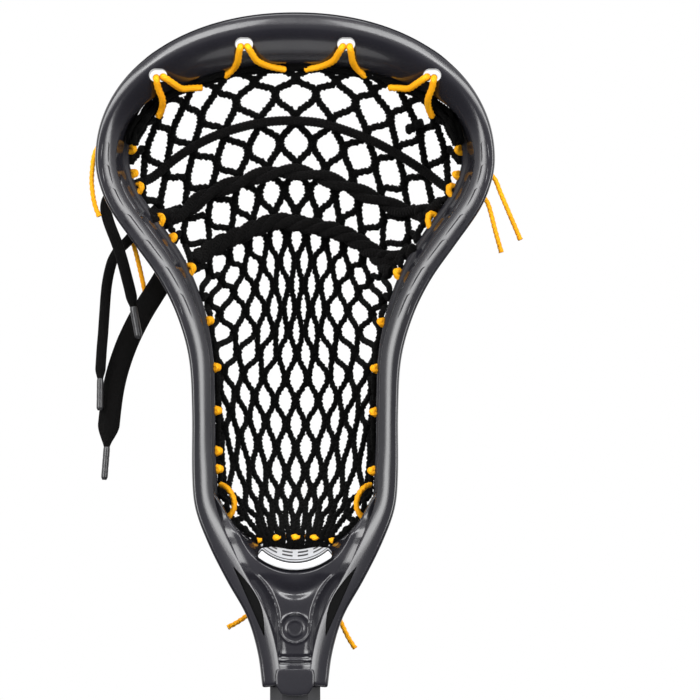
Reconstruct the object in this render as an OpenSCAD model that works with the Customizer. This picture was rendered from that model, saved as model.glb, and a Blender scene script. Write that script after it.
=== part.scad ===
// Lacrosse stick: moulded head with a strung mesh pocket, on an octagonal tube.
// Z runs up the stick from the butt end, the ball side of the head faces -Y.

/* [Shaft] */
// Length of the metal tube
shaft_len = 762; // [600:1:1050]
// Width of the tube across its sides
shaft_w = 23.6; // [23.2:0.1:23.8]
// Depth of the tube, front to back
shaft_d = 21.6; // [21.2:0.1:21.8]
// Width of the tube's front flat
shaft_flat_w = 12.2; // [11:0.1:13]
// Width of the tube's side flat
shaft_flat_d = 10.4; // [9:0.1:11]
// Wall of the tube
shaft_wall = 1.4; // [1:0.1:2]

/* [Butt cap] */
// Wall of the rubber cap around the tube
cap_wall = 2.4; // [2:0.1:3]
// Thickness of the cap's closed end
cap_floor = 6; // [4:0.5:8]
// How far the cap reaches up the tube
cap_sleeve = 32; // [24:1:38]

/* [Head] */
// Half width of the head at its widest
head_half_w = 94; // [92:0.5:95]
// Height of the widest place above the throat's end
widest_z = 248; // [248:1:250]
// Height of the scoop above the widest place
scoop_rise = 69.4; // [66:0.2:72]
// Width of the scoop band at its middle
scoop_band = 23.5; // [22:0.5:25]
// Radius of the round inner end beside the ball stop
bowl_r = 37; // [36.5:0.1:37.2]
// Height of that round end's centre
bowl_z = 100; // [100:1:101]

/* [Socket and screw] */
// Depth of the socket that takes the shaft
socket_depth = 48; // [44:1:50]
// Height of the screw above the throat's end
screw_z = 28; // [26:1:34]
// Radius of the screw's shank
screw_r = 2; // [1.6:0.1:2.2]

/* [Pocket] */
// Depth of the pocket below the back rail
pocket_depth = 44; // [36:1:48]
// Thickness of the mesh
mesh_t = 2.4; // [2:0.1:3]
// Thickness of the sidewall string
string_t = 2.4; // [2:0.1:2.6]

/* [Ball stop] */
// Radius of the pad's seat
stop_r = 27; // [26:0.5:28]
// Thickness of the foam pad
stop_t = 3.6; // [3:0.1:4]
// Slope of the pad, rising to the back
stop_tilt = 16; // [15:1:18]

/* [Hidden] */

// Height of the throat's end above the butt face
throat_z = cap_floor + shaft_len - socket_depth;

// Outer outline of the head: height above the throat's end, half width
outline = [
    [0, 15.3], [17, 17.6], [34, 22.8], [50, 31.8], [67, 40.4], [84, 46.8],
    [100, 48.4], [130, 48.5], [155, 50], [175, 55.6], [192, 64], [209, 76],
    [225, 87.2], [237, 92.2], [widest_z, head_half_w], [widest_z + 11, 92.2]
];
// Squareness of the scoop's outline: 2 is an ellipse
scoop_power = 2.1;
// Width of the sidewall as seen from the front, along the head's height
band = [[100, 11.4], [120, 10.6], [150, 11], [175, 13], [200, 15.5], [225, 16], [widest_z, 15.5]];
side_band = 15.5;
// Front and back faces of the sidewall, along the head's height
front_y = [[0, -13.6], [40, -14], [70, -13.5], [100, -12], [150, -10], [200, -9], [248, -9.5], [320, -12]];
back_y = [[0, 13.6], [40, 14.5], [60, 16], [80, 22], [100, 28], [130, 33], [165, 33.5], [200, 30],
    [248, 24], [320, 13]];

// Lowest point of the ball stop's seat, at its front edge, and the pad's length from front to back
stop_front_y = -14;
stop_front_z = 55;
stop_len = 24;

// ---- small maths ----
function unit(v) = v / norm(v);
function span(list, x, i = 0) = (i >= len(list) - 2 || x < list[i + 1][0]) ? i : span(list, x, i + 1);
function slope(list, i) =
    let (a = list[max(i - 1, 0)], b = list[min(i + 1, len(list) - 1)]) (b[1] - a[1]) / (b[0] - a[0]);
// Smooth curve through a list of [x, y]
function smooth(list, x) =
    let (
        i = span(list, x),
        a = list[i],
        b = list[i + 1],
        h = b[0] - a[0],
        t = (x - a[0]) / h
    )
    (2 * t ^ 3 - 3 * t ^ 2 + 1) * a[1] + (t ^ 3 - 2 * t ^ 2 + t) * h * slope(list, i)
    + (3 * t ^ 2 - 2 * t ^ 3) * b[1] + (t ^ 3 - t ^ 2) * h * slope(list, i + 1);
function ease(t) = let (c = min(max(t, 0), 1)) c * c * (3 - 2 * c);
function mix(a, b, t) = a + (b - a) * t;

// ---- stations round the right half of the head ----
// Each station is [outer x, outer z, inner x, inner z, share of scoop shape]
function bowl_station(angle) = [
    smooth(outline, bowl_z + 0.87 * angle), bowl_z + 0.87 * angle,
    bowl_r * cos(angle), bowl_z + bowl_r * sin(angle), 0
];
function side_station(z) =
    let (
        x = smooth(outline, z),
        run = (smooth(outline, z + 0.5) - smooth(outline, z - 0.5)),
        inward = unit([-1, run]) * smooth(band, z)
    )
    [x, z, x + inward[0], z + inward[1], 0];
function scoop_station(angle) =
    let (
        across = cos(angle) ^ (2 / scoop_power),
        up = sin(angle) ^ (2 / scoop_power),
        x = head_half_w * across,
        z = widest_z + scoop_rise * up,
        w = side_band + (scoop_band - side_band) * sin(angle) ^ 2,
        slope_x = across ^ (scoop_power - 1) / head_half_w,
        slope_z = up ^ (scoop_power - 1) / scoop_rise,
        inward = -w * unit([slope_x, slope_z])
    )
    [x, z, x + inward[0], z + inward[1], ease(angle / 50)];

bowl_step = 10;
side_step = 8;
scoop_step = 6;
right_half = concat(
    [for (angle = [-60:bowl_step:0]) bowl_station(angle)],
    [for (z = [bowl_z + side_step:side_step:widest_z - 6]) side_station(z)],
    [for (angle = [0:scoop_step:90 - scoop_step]) scoop_station(angle)]
);
function mirrored(s) = [-s[0], s[1], -s[2], s[3], s[4]];
left_half = [for (i = [len(right_half) - 1:-1:0]) mirrored(right_half[i])];
stations = concat(right_half, [scoop_station(90)], left_half);

function inward_of(s) = unit([s[2] - s[0], s[3] - s[1]]);
function band_of(s) = norm([s[2] - s[0], s[3] - s[1]]);
// Point of a station, u inward from the outline and y front to back
function place(s, u, y) = [s[0] + inward_of(s)[0] * u, y, throat_z + s[1] + inward_of(s)[1] * u];

// Sidewall section: front rail, slanted web, back rail
rail_t = 6;
back_rail_w = 9;
web_t = 3.6;
function wall_section(w, f, b) = [
    [0.8, f], [w - 1.5, f + 0.4], [w, f + 2.5], [w - 1, f + rail_t - 0.5],
    [3 + web_t, f + rail_t + 1], [w - 3.4, b - rail_t - 2.5],
    [w - 0.3, b - rail_t - 1], [w - 0.3, b - 1], [w - 1.3, b],
    [w - back_rail_w + 1, b], [w - back_rail_w, b - 1], [w - back_rail_w, b - rail_t],
    [w - 3.4 - web_t, b - rail_t - 2], [3, f + rail_t + 1], [0, f + rail_t - 1], [0, f + 1]
];
// Scoop section: a ramp that leans back towards its inner edge
function ramp_section(w) = [
    [0.8, -12], [0.43 * w, -8], [0.85 * w, 1], [w, 6.5], [w, 9], [w - 0.2, 11],
    [w - 0.5, 12.5], [w - 2, 13.5], [w - 4, 13], [w - 7.5, 10], [w - 11.5, 6.5],
    [w - 14.5, 4], [w - 17.5, 1.5], [w - 20.5, -2], [0.6, -6], [0, -10]
];
function rim_ring(s) =
    let (
        w = band_of(s),
        wall = wall_section(w, smooth(front_y, s[1]), smooth(back_y, s[1])),
        ramp = ramp_section(w)
    )
    [for (i = [0:len(wall) - 1]) let (p = mix(wall[i], ramp[i], s[4])) place(s, p[0], p[1])];

// ---- solids through rings ----
module skin(rings) {
    n = len(rings[0]);
    last = len(rings) - 1;
    walls = [
        for (i = [0:last - 1], j = [0:n - 1])
            let (a = i * n + j, b = i * n + (j + 1) % n)
            each [[a, b, b + n], [a, b + n, a + n]]
    ];
    start_cap = [for (j = [n - 1:-1:0]) j];
    end_cap = [for (j = [0:n - 1]) last * n + j];
    polyhedron([for (r = rings) each r], concat(walls, [start_cap, end_cap]), convexity = 10);
}
// Thin sheet between two grids of points with the same rows and columns
module shell(outer, inner) {
    n = len(outer[0]);
    m = len(outer);
    far = n * m;
    grid = [for (i = [0:m - 2], j = [0:n - 2]) let (a = i * n + j) [a, a + 1, a + n + 1, a + n]];
    // Points round the sheet's border, in turn
    border = concat(
        [for (j = [0:n - 2]) j],
        [for (i = [0:m - 2]) i * n + n - 1],
        [for (j = [n - 1:-1:1]) (m - 1) * n + j],
        [for (i = [m - 1:-1:1]) i * n]
    );
    faces = concat(
        [for (q = grid) each [[q[0], q[1], q[2]], [q[0], q[2], q[3]]]],
        [for (q = grid) each [[far + q[2], far + q[1], far + q[0]], [far + q[3], far + q[2], far + q[0]]]],
        [
            for (k = [0:len(border) - 1])
                let (a = border[k], b = border[(k + 1) % len(border)])
                each [[b, a, far + a], [b, far + a, far + b]]
        ]
    );
    polyhedron(concat([for (r = outer) each r], [for (r = inner) each r]), faces, convexity = 6);
}
function tangent(route, i) = unit(route[min(i + 1, len(route) - 1)] - route[max(i - 1, 0)]);
function cord_ring(at, along, wide, thick, sides, ref) =
    let (a = unit(cross(along, ref)), b = cross(a, along))
    [for (k = [0:sides - 1]) at + a * wide / 2 * cos(360 * k / sides) + b * thick / 2 * sin(360 * k / sides)];
module cord(route, wide, thick, sides = 8, ref = [0, 1, 0]) {
    skin([for (i = [0:len(route) - 1]) cord_ring(route[i], tangent(route, i), wide, thick, sides, ref)]);
}
function lifted(route) = [for (p = route) p + [0, 0, throat_z]];
module rod(from, to, r) {
    d = to - from;
    translate(from)
        rotate([0, acos(d[2] / norm(d)), atan2(d[1], d[0])])
            cylinder(h = norm(d), r = r, $fn = 24);
}
// Octagon with the shaft's flats, grown outwards
function octagon(grow) =
    let (
        x = shaft_w / 2 + grow,
        y = shaft_d / 2 + grow,
        fx = shaft_flat_w / 2 + 0.41 * grow,
        fy = shaft_flat_d / 2 + 0.41 * grow
    )
    [[x, -fy], [x, fy], [fx, y], [-fx, y], [-x, fy], [-x, -fy], [-fx, -y], [fx, -y]];

// ---- pocket surface ----
pocket_gap = 4.5;
pocket_edges = [
    for (s = concat(right_half, [scoop_station(88)]))
        let (p = place(s, band_of(s) + pocket_gap, 0)) [p[2] - throat_z, p[0], edge_y(s)]
];
function edge_y(s) = mix(smooth(back_y, s[1]) - 5, 9, s[4]);
edge_x_by_z = [for (e = pocket_edges) [e[0], e[1]]];
edge_y_by_z = [for (e = pocket_edges) [e[0], e[2]]];
pocket_low = pocket_edges[0][0];
pocket_high = pocket_edges[len(pocket_edges) - 1][0];
function sag(z) = pocket_depth * max(sin(180 * (z - pocket_low) / (pocket_high - pocket_low)), 0) ^ 0.9;
// Ball side of the mesh at a place seen from the front
function pocket_y(x, z) =
    let (w = lookup(z, edge_x_by_z))
    lookup(z, edge_y_by_z) + sag(z) * sqrt(max(1 - (x / (w - mesh_t)) ^ 2, 0));

// =====================================================================
module throat() {
    sides = 32;
    roundness = 0.62;
    levels = [0, 6, 14, 22, 30, 38, 46, 54, 60, 66];
    // The core ends behind the rim's outer face from this height up
    rim_start = 50;
    inset = 0.4;
    back_limit = 15.5;
    skin([
        for (z = levels)
            let (
                w = smooth(outline, z) - (z > rim_start ? inset : 0),
                f = smooth(front_y, z),
                b = min(smooth(back_y, z), back_limit)
            )
            [
                for (k = [0:sides - 1])
                    let (c = cos(360 * k / sides), s = sin(360 * k / sides))
                    [
                        w * sign(c) * abs(c) ^ roundness,
                        (f + b) / 2 - (b - f) / 2 * sign(s) * abs(s) ^ roundness,
                        throat_z + z
                    ]
            ]
    ]);
}
// Frame whose Z runs along the ball stop, from its front edge up to the back, and whose Y points down
module stop_frame() {
    translate([0, stop_front_y - stop_r * sin(stop_tilt), throat_z + stop_front_z + stop_r * cos(stop_tilt)])
        rotate([stop_tilt - 90, 0, 0])
            children();
}
// Seat of the ball stop: a round trough that rises to the back
module stop_trough(r) {
    stop_frame()
        cylinder(h = 80, r = r, center = true, $fn = 72);
}
// Opening through the web between the two rails
module window(z, length) {
    s = side_station(z);
    corner = 3.5;
    f = smooth(front_y, z) + rail_t + corner + 3;
    b = smooth(back_y, z) - rail_t - corner - 3.5;
    turn = atan2(inward_of(s)[1], -inward_of(s)[0]);
    translate(place(s, 0, 0))
        rotate([0, turn, 0])
            hull()
                for (y = [f, b], along = [-1, 1])
                    translate([-12, y, along * (length / 2 - corner)])
                        rotate([0, 90, 0])
                            cylinder(h = 24, r = corner, center = true, $fn = 12);
}
window_rows = [[112, 20], [136, 20], [160, 20], [183, 18], [205, 20], [228, 20]];
string_hole_rows = [100, 124, 148, 172, 194, 216, 238];
string_hole_r = 1.6;
// Slot beside the throat's panel: x, height above the throat's end, half width
leaf = [[15.9, 29, 1.1], [20.5, 42, 2.2], [28.5, 55.5, 0.9]];
scoop_holes = [[24, 302.5], [64.4, 287.8]];
scoop_hole_r = 3;
scoop_hole_shift = 1.2;
module leaf_slot() {
    for (i = [0:1])
        hull()
            for (p = [leaf[i], leaf[i + 1]])
                translate([p[0], -7, throat_z + p[1]])
                    rotate([90, 0, 0])
                        cylinder(h = 30, r = p[2], center = true, $fn = 12);
}
module string_hole(z) {
    s = side_station(z);
    u = band_of(s);
    y = smooth(back_y, z) - 4;
    rod(place(s, u - back_rail_w - 4, y), place(s, u + 4, y), string_hole_r);
}
module scoop_hole(at) {
    hull()
        for (shift = [-scoop_hole_shift, scoop_hole_shift])
            translate([at[0] + shift, 0, throat_z + at[1]])
                rotate([90, 0, 0])
                    cylinder(h = 60, r = scoop_hole_r, center = true, $fn = 16);
}
// Counterbore for the screw's head, in the back of the throat
counterbore_y = 12.6;
counterbore_r = 4.4;
socket_gap = 0.15;
module head_frame() {
    color([0.2, 0.2, 0.22])
        difference() {
            union() {
                skin([for (s = stations) rim_ring(s)]);
                throat();
            }
            stop_trough(stop_r);
            translate([0, 0, throat_z + bowl_z])
                rotate([90, 0, 0])
                    cylinder(h = 80, r = bowl_r - 0.2, center = true, $fn = 72);
            translate([0, 0, throat_z - 1])
                linear_extrude(socket_depth + 1)
                    polygon(octagon(socket_gap));
            translate([0, 0, throat_z + screw_z])
                rotate([-90, 0, 0])
                    cylinder(h = 30, r = screw_r + 0.5, $fn = 16);
            translate([0, counterbore_y, throat_z + screw_z])
                rotate([-90, 0, 0])
                    cylinder(h = 20, r = counterbore_r, $fn = 24);
            for (side = [0, 1])
                mirror([side, 0, 0]) {
                    for (row = window_rows)
                        window(row[0], row[1]);
                    for (z = string_hole_rows)
                        string_hole(z);
                    for (at = scoop_holes)
                        scoop_hole(at);
                    leaf_slot();
                }
        }
}
module ball_stop_pad() {
    half_angle = 42;
    outer = stop_r - 0.4;
    reach = 2 * stop_r;
    // Plan of the pad, shorter at its two ends than at its middle: half width, distance from its front edge
    plan = [[18, 0], [18, 6], [15, 13], [12, 19], [6, stop_len]];
    color([0.9, 0.9, 0.91])
        stop_frame()
            translate([0, 0, 0.6])
                intersection() {
                    difference() {
                        cylinder(h = stop_len, r = outer, $fn = 72);
                        translate([0, 0, -1])
                            cylinder(h = stop_len + 2, r = outer - stop_t, $fn = 72);
                    }
                    linear_extrude(stop_len)
                        polygon([
                            [0, 0],
                            [reach * sin(half_angle), reach * cos(half_angle)],
                            [-reach * sin(half_angle), reach * cos(half_angle)]
                        ]);
                    rotate([90, 0, 0])
                        linear_extrude(4 * stop_r, center = true)
                            polygon(concat(plan, [for (i = [len(plan) - 1:-1:0]) [-plan[i][0], plan[i][1]]]));
                }
}
module head_screw() {
    head_r = 3.8;
    head_h = 2.4;
    color([0.75, 0.75, 0.78])
        translate([0, counterbore_y + 0.1, throat_z + screw_z])
            rotate([-90, 0, 0])
                difference() {
                    union() {
                        cylinder(h = head_h, r = head_r, $fn = 32);
                        translate([0, 0, -10])
                            cylinder(h = 10, r = screw_r, $fn = 32);
                    }
                    for (turn = [0, 90])
                        rotate(turn)
                            translate([-2, -0.4, head_h - 1.4])
                                cube([4, 0.8, 2]);
                }
}
module shaft_tube() {
    color([0.32, 0.32, 0.33])
        difference() {
            translate([0, 0, cap_floor])
                linear_extrude(shaft_len)
                    polygon(octagon(0));
            translate([0, 0, cap_floor - 1])
                linear_extrude(shaft_len + 2)
                    polygon(octagon(-shaft_wall));
            translate([0, 0, throat_z + screw_z])
                rotate([-90, 0, 0])
                    cylinder(h = 30, r = screw_r + 0.05, $fn = 32);
        }
}
module butt_cap() {
    foot = 1.6;
    color([0.08, 0.08, 0.08])
        difference() {
            union() {
                linear_extrude(foot)
                    polygon(octagon(cap_wall - foot / 2));
                translate([0, 0, foot])
                    linear_extrude(cap_floor + cap_sleeve - foot)
                        polygon(octagon(cap_wall));
            }
            translate([0, 0, cap_floor])
                linear_extrude(cap_sleeve + 1)
                    polygon(octagon(0.05));
        }
}
module mesh_pocket() {
    columns = 14;
    gap = 0.6;
    angles = [-90:180 / columns:90];
    rows = [for (i = [0:2:len(pocket_edges) - 1]) pocket_edges[i]];
    back = [
        for (e = rows)
            [for (a = angles) [e[1] * sin(a), e[2] + (sag(e[0]) + gap + mesh_t) * cos(a), throat_z + e[0]]]
    ];
    front = [
        for (e = rows)
            [for (a = angles) [(e[1] - mesh_t) * sin(a), e[2] + (sag(e[0]) + gap) * cos(a), throat_z + e[0]]]
    ];
    color([0.06, 0.06, 0.06])
        shell(back, front);
}

// ---- strings tied along the frame ----
module string_piece(route) {
    color([0.98, 0.66, 0.08])
        cord(lifted(route), string_t, string_t, sides = 8);
}
module sidewall_string() {
    route = [
        for (s = right_half)
            if (s[1] > 62 && s[1] < widest_z + 16)
                let (p = place(s, band_of(s) + 2.1, edge_y(s))) [p[0], p[1], p[2] - throat_z]
    ];
    string_piece(route);
}
module sidewall_string_right() sidewall_string();
module sidewall_string_left() mirror([1, 0, 0]) sidewall_string();

// Legs of the top string, from a scoop hole over the scoop's inner edge to the mesh
top_legs = [
    [
        [25.6, 2, 301.2], [25.7, -7, 301], [26.4, -5.5, 298],
        [27, -1.5, 294.5], [29, 4, 291.5], [33, 8, 288]
    ],
    [
        [22.5, 2, 301.2], [22.2, -7, 301], [20.3, -5.5, 298],
        [18, -1.5, 294.8], [12.5, 4.5, 292.6], [4.8, 8, 291.2]
    ],
    [
        [65.2, 2, 286.6], [65.2, -7, 286.2], [64.4, -5, 282],
        [62.6, -0.5, 277], [62.8, 4.5, 273], [64.6, 9, 269]
    ],
    [
        [62.1, 2, 286.9], [61.6, -7, 286.9], [57.6, -5, 284.2],
        [53.5, -0.5, 281.8], [49, 5, 282.2], [44.5, 8.5, 282.6]
    ]
];
module top_string() {
    for (side = [0, 1])
        mirror([side, 0, 0])
            for (leg = top_legs)
                color([0.98, 0.66, 0.08])
                    cord(lifted(leg), string_t, string_t, sides = 8, ref = [0.3, 0, 0.95]);
}
bottom_route = [
    [-18, 11.8, 68.5], [-13, 12, 69.5], [-8, 12.2, 70], [0, 12.2, 70.2], [8, 12.2, 70], [13, 12, 69.5],
    [18, 11.8, 68.5]
];
module bottom_string() string_piece(bottom_route);

// ---- shooting laces across the mesh: [x, height above the throat's end] ----
upper_lace = [
    [-68, 241], [-57, 250], [-45, 257.5], [-33, 262.5], [-20, 266], [-10, 267.4], [0, 267.6], [12, 266.5],
    [24, 263], [36.5, 258.2], [50, 251], [63, 242.5], [70, 237]
];
middle_lace = [
    [-58, 222.5], [-52.5, 226.8], [-45, 231.5], [-36.5, 235.5], [-27, 239], [-18, 241.8], [-9.5, 243.6],
    [0.5, 243.8], [9.5, 242.2], [18, 239.4], [26.5, 236], [37, 231.5], [47, 227], [56, 223]
];
lower_lace = [
    [-44.5, 204.8], [-41, 207.2], [-35, 210.4], [-26.5, 214.2], [-18, 217.8], [-9.5, 220.4], [0.5, 219.4],
    [10.5, 217.6], [21, 215], [29, 211], [36.5, 205.8], [41.8, 199]
];
module lace_piece(route, d) {
    color([0.05, 0.05, 0.05])
        cord([for (p = route) [p[0], pocket_y(p[0], p[1]) - d / 2 - 0.3, throat_z + p[1]]], d, d, sides = 10);
}
module shooting_lace_upper() lace_piece(upper_lace, 4);
module shooting_lace_middle() lace_piece(middle_lace, 7.2);
module shooting_lace_lower() lace_piece(lower_lace, 7.8);

// ---- loose ends: routes from the knot or rail outwards, heights above the throat's end ----
long_tail = [
    [-66, 31, 226], [-71, 32, 221], [-76, 32, 215.5], [-80, 31, 210.5], [-84, 30, 206.5], [-87, 29, 201.5],
    [-88.6, 28, 196], [-89.7, 27, 190], [-90.3, 26, 184], [-90.7, 25.5, 178], [-91.1, 25, 172],
    [-91.5, 24.5, 166], [-92, 24, 160], [-92.4, 24, 154], [-92.7, 24, 149], [-92.8, 24, 144.5]
];
short_tail = [
    [-79, 29, 238], [-83.5, 29.5, 236.5], [-87, 29, 233.5], [-89.5, 27.5, 230], [-90.2, 25.5, 226],
    [-89.3, 23.5, 221.5], [-87.8, 22, 217], [-86, 21, 212.5], [-84.3, 20.5, 208], [-82.7, 20, 203],
    [-81.3, 19.5, 198], [-80, 19, 193], [-78.7, 18.5, 188], [-77.6, 18.5, 183], [-76.8, 18.5, 178.5]
];
wide_tail = [
    [-56.5, 32.5, 204], [-60, 33.2, 198.5], [-63.8, 33.5, 191.5], [-68.2, 33.5, 184.5], [-72.5, 33, 177.5],
    [-76.5, 32.5, 170], [-80, 32, 162.5], [-82.8, 31, 155], [-85.2, 30, 147], [-86.9, 29, 139],
    [-88, 28, 131], [-88.8, 27.5, 123.5], [-89.5, 27, 117], [-89.7, 27, 114.5], [-89.8, 27, 112]
];
upper_left_end = [
    [-84, 25, 256], [-88, 26, 257], [-92, 25.5, 256.5], [-94.5, 24, 254], [-95.8, 22.5, 250],
    [-96.4, 21.5, 245], [-96.7, 20.5, 239], [-96.2, 20, 233], [-95, 19.5, 227], [-93, 19, 222]
];
lower_left_end = [
    [-78, 29.4, 227], [-79.5, 32, 222], [-79.5, 35, 216], [-78, 36, 211], [-76.5, 36.5, 206],
    [-75, 36.5, 200], [-73.6, 36.5, 194], [-72.3, 36.5, 188], [-71, 36.5, 182]
];
upper_right_end = [
    [84, 26.5, 244], [88, 28, 244], [92, 27.5, 242.5], [94.8, 26, 239.5], [97, 25, 234], [99.5, 24, 228],
    [102, 23, 222], [104.3, 22, 216.5], [106.6, 21, 211]
];
lower_right_end = [
    [80, 28.5, 233], [84.5, 30, 233], [88.5, 29.5, 231.8], [91, 28, 229], [92.8, 27, 223.5],
    [94.4, 26, 217], [96, 25.5, 211], [97.7, 25, 205]
];
throat_left_end = [
    [-12, 17.4, 50], [-14, 18, 45], [-17, 18, 40], [-20, 17.5, 36], [-23, 16.5, 33], [-26, 15.5, 30.8],
    [-29, 14.8, 29], [-32, 14, 27.5]
];
throat_right_end = [
    [12, 17.4, 50], [14, 18, 45], [16.5, 18, 40], [19, 17.5, 35.5], [21, 16.8, 31], [23, 16, 26.5],
    [25.3, 15.3, 22], [28.2, 14.5, 17.5]
];
end_t = 2.2;
module string_end(route) {
    color([0.98, 0.66, 0.08])
        cord(lifted(route), end_t, end_t, sides = 8);
}
module lace_tail(route, wide, thick) {
    color([0.05, 0.05, 0.05])
        cord(lifted(route), wide, thick, sides = 10);
}
module aglet(route, drop, r) {
    from = lifted(route)[len(route) - 1];
    color([0.15, 0.15, 0.15])
        rod(from, from + drop, r);
}
module lace_tail_long() lace_tail(long_tail, 5, 2.4);
module lace_tail_short() lace_tail(short_tail, 5.4, 2.8);
module lace_tail_wide() lace_tail(wide_tail, 10.4, 2.4);
module aglet_long() aglet(long_tail, [-0.2, 0, -14.5], 1.6);
module aglet_short() aglet(short_tail, [2.6, 0, -14.4], 1.8);
module aglet_wide() aglet(wide_tail, [-1.2, 0, -15], 1.6);
module string_tail_upper_left() string_end(upper_left_end);
module string_tail_lower_left() string_end(lower_left_end);
module string_tail_upper_right() string_end(upper_right_end);
module string_tail_lower_right() string_end(lower_right_end);
module string_tail_throat_left() string_end(throat_left_end);
module string_tail_throat_right() string_end(throat_right_end);
module string_knots() {
    knot_r = 2.5;
    starts = [
        upper_left_end[0], lower_left_end[0], upper_right_end[0], lower_right_end[0],
        throat_left_end[0], throat_right_end[0]
    ];
    color([0.98, 0.66, 0.08])
        for (at = lifted(starts))
            translate(at)
                sphere(r = knot_r, $fn = 32);
}

head_frame();
ball_stop_pad();
head_screw();
shaft_tube();
butt_cap();
mesh_pocket();
top_string();
bottom_string();
sidewall_string_left();
sidewall_string_right();
string_knots();
shooting_lace_upper();
shooting_lace_middle();
shooting_lace_lower();
lace_tail_long();
lace_tail_short();
lace_tail_wide();
aglet_long();
aglet_short();
aglet_wide();
string_tail_upper_left();
string_tail_lower_left();
string_tail_upper_right();
string_tail_lower_right();
string_tail_throat_left();
string_tail_throat_right();
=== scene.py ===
import math
import random
import bmesh
import bpy
import numpy as np
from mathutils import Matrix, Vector


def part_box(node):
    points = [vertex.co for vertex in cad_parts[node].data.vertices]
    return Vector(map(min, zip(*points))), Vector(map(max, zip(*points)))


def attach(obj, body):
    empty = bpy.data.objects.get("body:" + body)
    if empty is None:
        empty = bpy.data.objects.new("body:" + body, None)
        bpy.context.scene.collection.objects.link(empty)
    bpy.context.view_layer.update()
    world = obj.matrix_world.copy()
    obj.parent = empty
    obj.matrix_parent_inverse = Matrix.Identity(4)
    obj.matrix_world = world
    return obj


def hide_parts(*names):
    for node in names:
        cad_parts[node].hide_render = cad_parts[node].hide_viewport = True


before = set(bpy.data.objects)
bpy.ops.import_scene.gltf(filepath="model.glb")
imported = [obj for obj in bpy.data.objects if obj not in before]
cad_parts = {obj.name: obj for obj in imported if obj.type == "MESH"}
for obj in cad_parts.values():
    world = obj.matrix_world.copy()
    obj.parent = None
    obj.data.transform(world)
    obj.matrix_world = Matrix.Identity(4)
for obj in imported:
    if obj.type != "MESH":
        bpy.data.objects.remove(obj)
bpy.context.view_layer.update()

# Heights in this file are millimetres above the throat's end, as in the CAD; x and y are the frame's own.
MM = 0.001
THROAT_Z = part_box("head_frame")[0][2]


def metres(points, base=THROAT_Z):
    """Points (x, y, height above base), in millimetres, to the frame in metres."""
    return np.asarray(points, float) * MM + np.array([0, 0, base])


# --- small maths
def ease(t):
    t = np.clip(t, 0, 1)
    return t * t * (3 - 2 * t)


def mix(a, b, t):
    return a + (b - a) * t


def bump(x, width):
    return np.exp(-(x / width) ** 2)


def between(x, low, high, rise, fall):
    """Share that eases in over rise above low, and out over fall below high."""
    return ease((x - low) / rise) * ease((high - x) / fall)


class Curve:
    """Smooth curve through [x, y] knots, by the same rule as the CAD outline."""

    def __init__(self, knots):
        self.x, self.y = np.array(knots, float).T
        before = np.maximum(np.arange(len(self.x)) - 1, 0)
        after = np.minimum(np.arange(len(self.x)) + 1, len(self.x) - 1)
        self.slope = (self.y[after] - self.y[before]) / (self.x[after] - self.x[before])

    def __call__(self, x):
        x = np.clip(x, self.x[0], self.x[-1])
        i = np.clip(np.searchsorted(self.x, x, side="right") - 1, 0, len(self.x) - 2)
        h = self.x[i + 1] - self.x[i]
        t = (x - self.x[i]) / h
        rise = (2 * t**3 - 3 * t**2 + 1) * self.y[i] + (3 * t**2 - 2 * t**3) * self.y[i + 1]
        return rise + h * ((t**3 - 2 * t**2 + t) * self.slope[i] + (t**3 - t**2) * self.slope[i + 1])


def path_length(points):
    return float(np.linalg.norm(np.diff(points, axis=0), axis=1).sum())


def run_along(points):
    """How far along a path each of its points lies."""
    return np.concatenate([[0], np.cumsum(np.linalg.norm(np.diff(points, axis=0), axis=1))])


def smooth_path(points, count):
    """A path of count points, evenly spaced along a smooth curve through the given ones."""
    points = np.asarray(points, float)
    at = run_along(points)
    fine = np.linspace(0, at[-1], 8 * count)
    dense = np.column_stack([Curve(np.column_stack([at, points[:, k]]))(fine) for k in range(3)])
    run = run_along(dense)
    even = np.linspace(0, run[-1], count)
    return np.column_stack([np.interp(even, run, dense[:, k]) for k in range(3)])


def stepped_path(points, step):
    """The same smooth curve with a point about every step millimetres."""
    return smooth_path(points, int(path_length(points) / step))


# --- the head's driving shapes, in millimetres
HEAD_HALF_W = 94
WIDEST_Z = 248
SCOOP_RISE = 69.4
SCOOP_POWER = 2.1
SIDE_BAND = 15.5
SCOOP_BAND = 23.5
BOWL_R = 37
BOWL_Z = 100
outline = Curve([
    [0, 15.3], [17, 17.6], [34, 22.8], [50, 31.8], [67, 40.4], [84, 46.8], [100, 48.4], [130, 48.5],
    [155, 50], [175, 55.6], [192, 64], [209, 76], [225, 87.2], [237, 92.2], [WIDEST_Z, HEAD_HALF_W],
    [259, 92.2]])
band = Curve([[100, 11.4], [120, 10.6], [150, 11], [175, 13], [200, 15.5], [225, 16], [WIDEST_Z, SIDE_BAND]])
front_y = Curve([[0, -13.6], [40, -14], [70, -13.5], [100, -12], [150, -10], [200, -9], [WIDEST_Z, -9.5],
                 [320, -12]])
back_y = Curve([[0, 13.6], [40, 14.5], [60, 16], [80, 22], [100, 28], [130, 33], [165, 33.5], [200, 30],
                [WIDEST_Z, 24], [320, 13]])
WINDOWS = [(112, 20), (136, 20), (160, 20), (183, 18), (205, 20), (228, 20)]
STRING_HOLES = [100, 124, 148, 172, 194, 216, 238]
SCOOP_HOLES = [(24, 302.5), (64.4, 287.8)]
SCREW_Z = 28
SOCKET_DEPTH = 48
RAIL_FOOT_W = 9.5
THROAT_WIDENS_Z = 40
THROAT_ENDS_Z = (48, 94)


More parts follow.
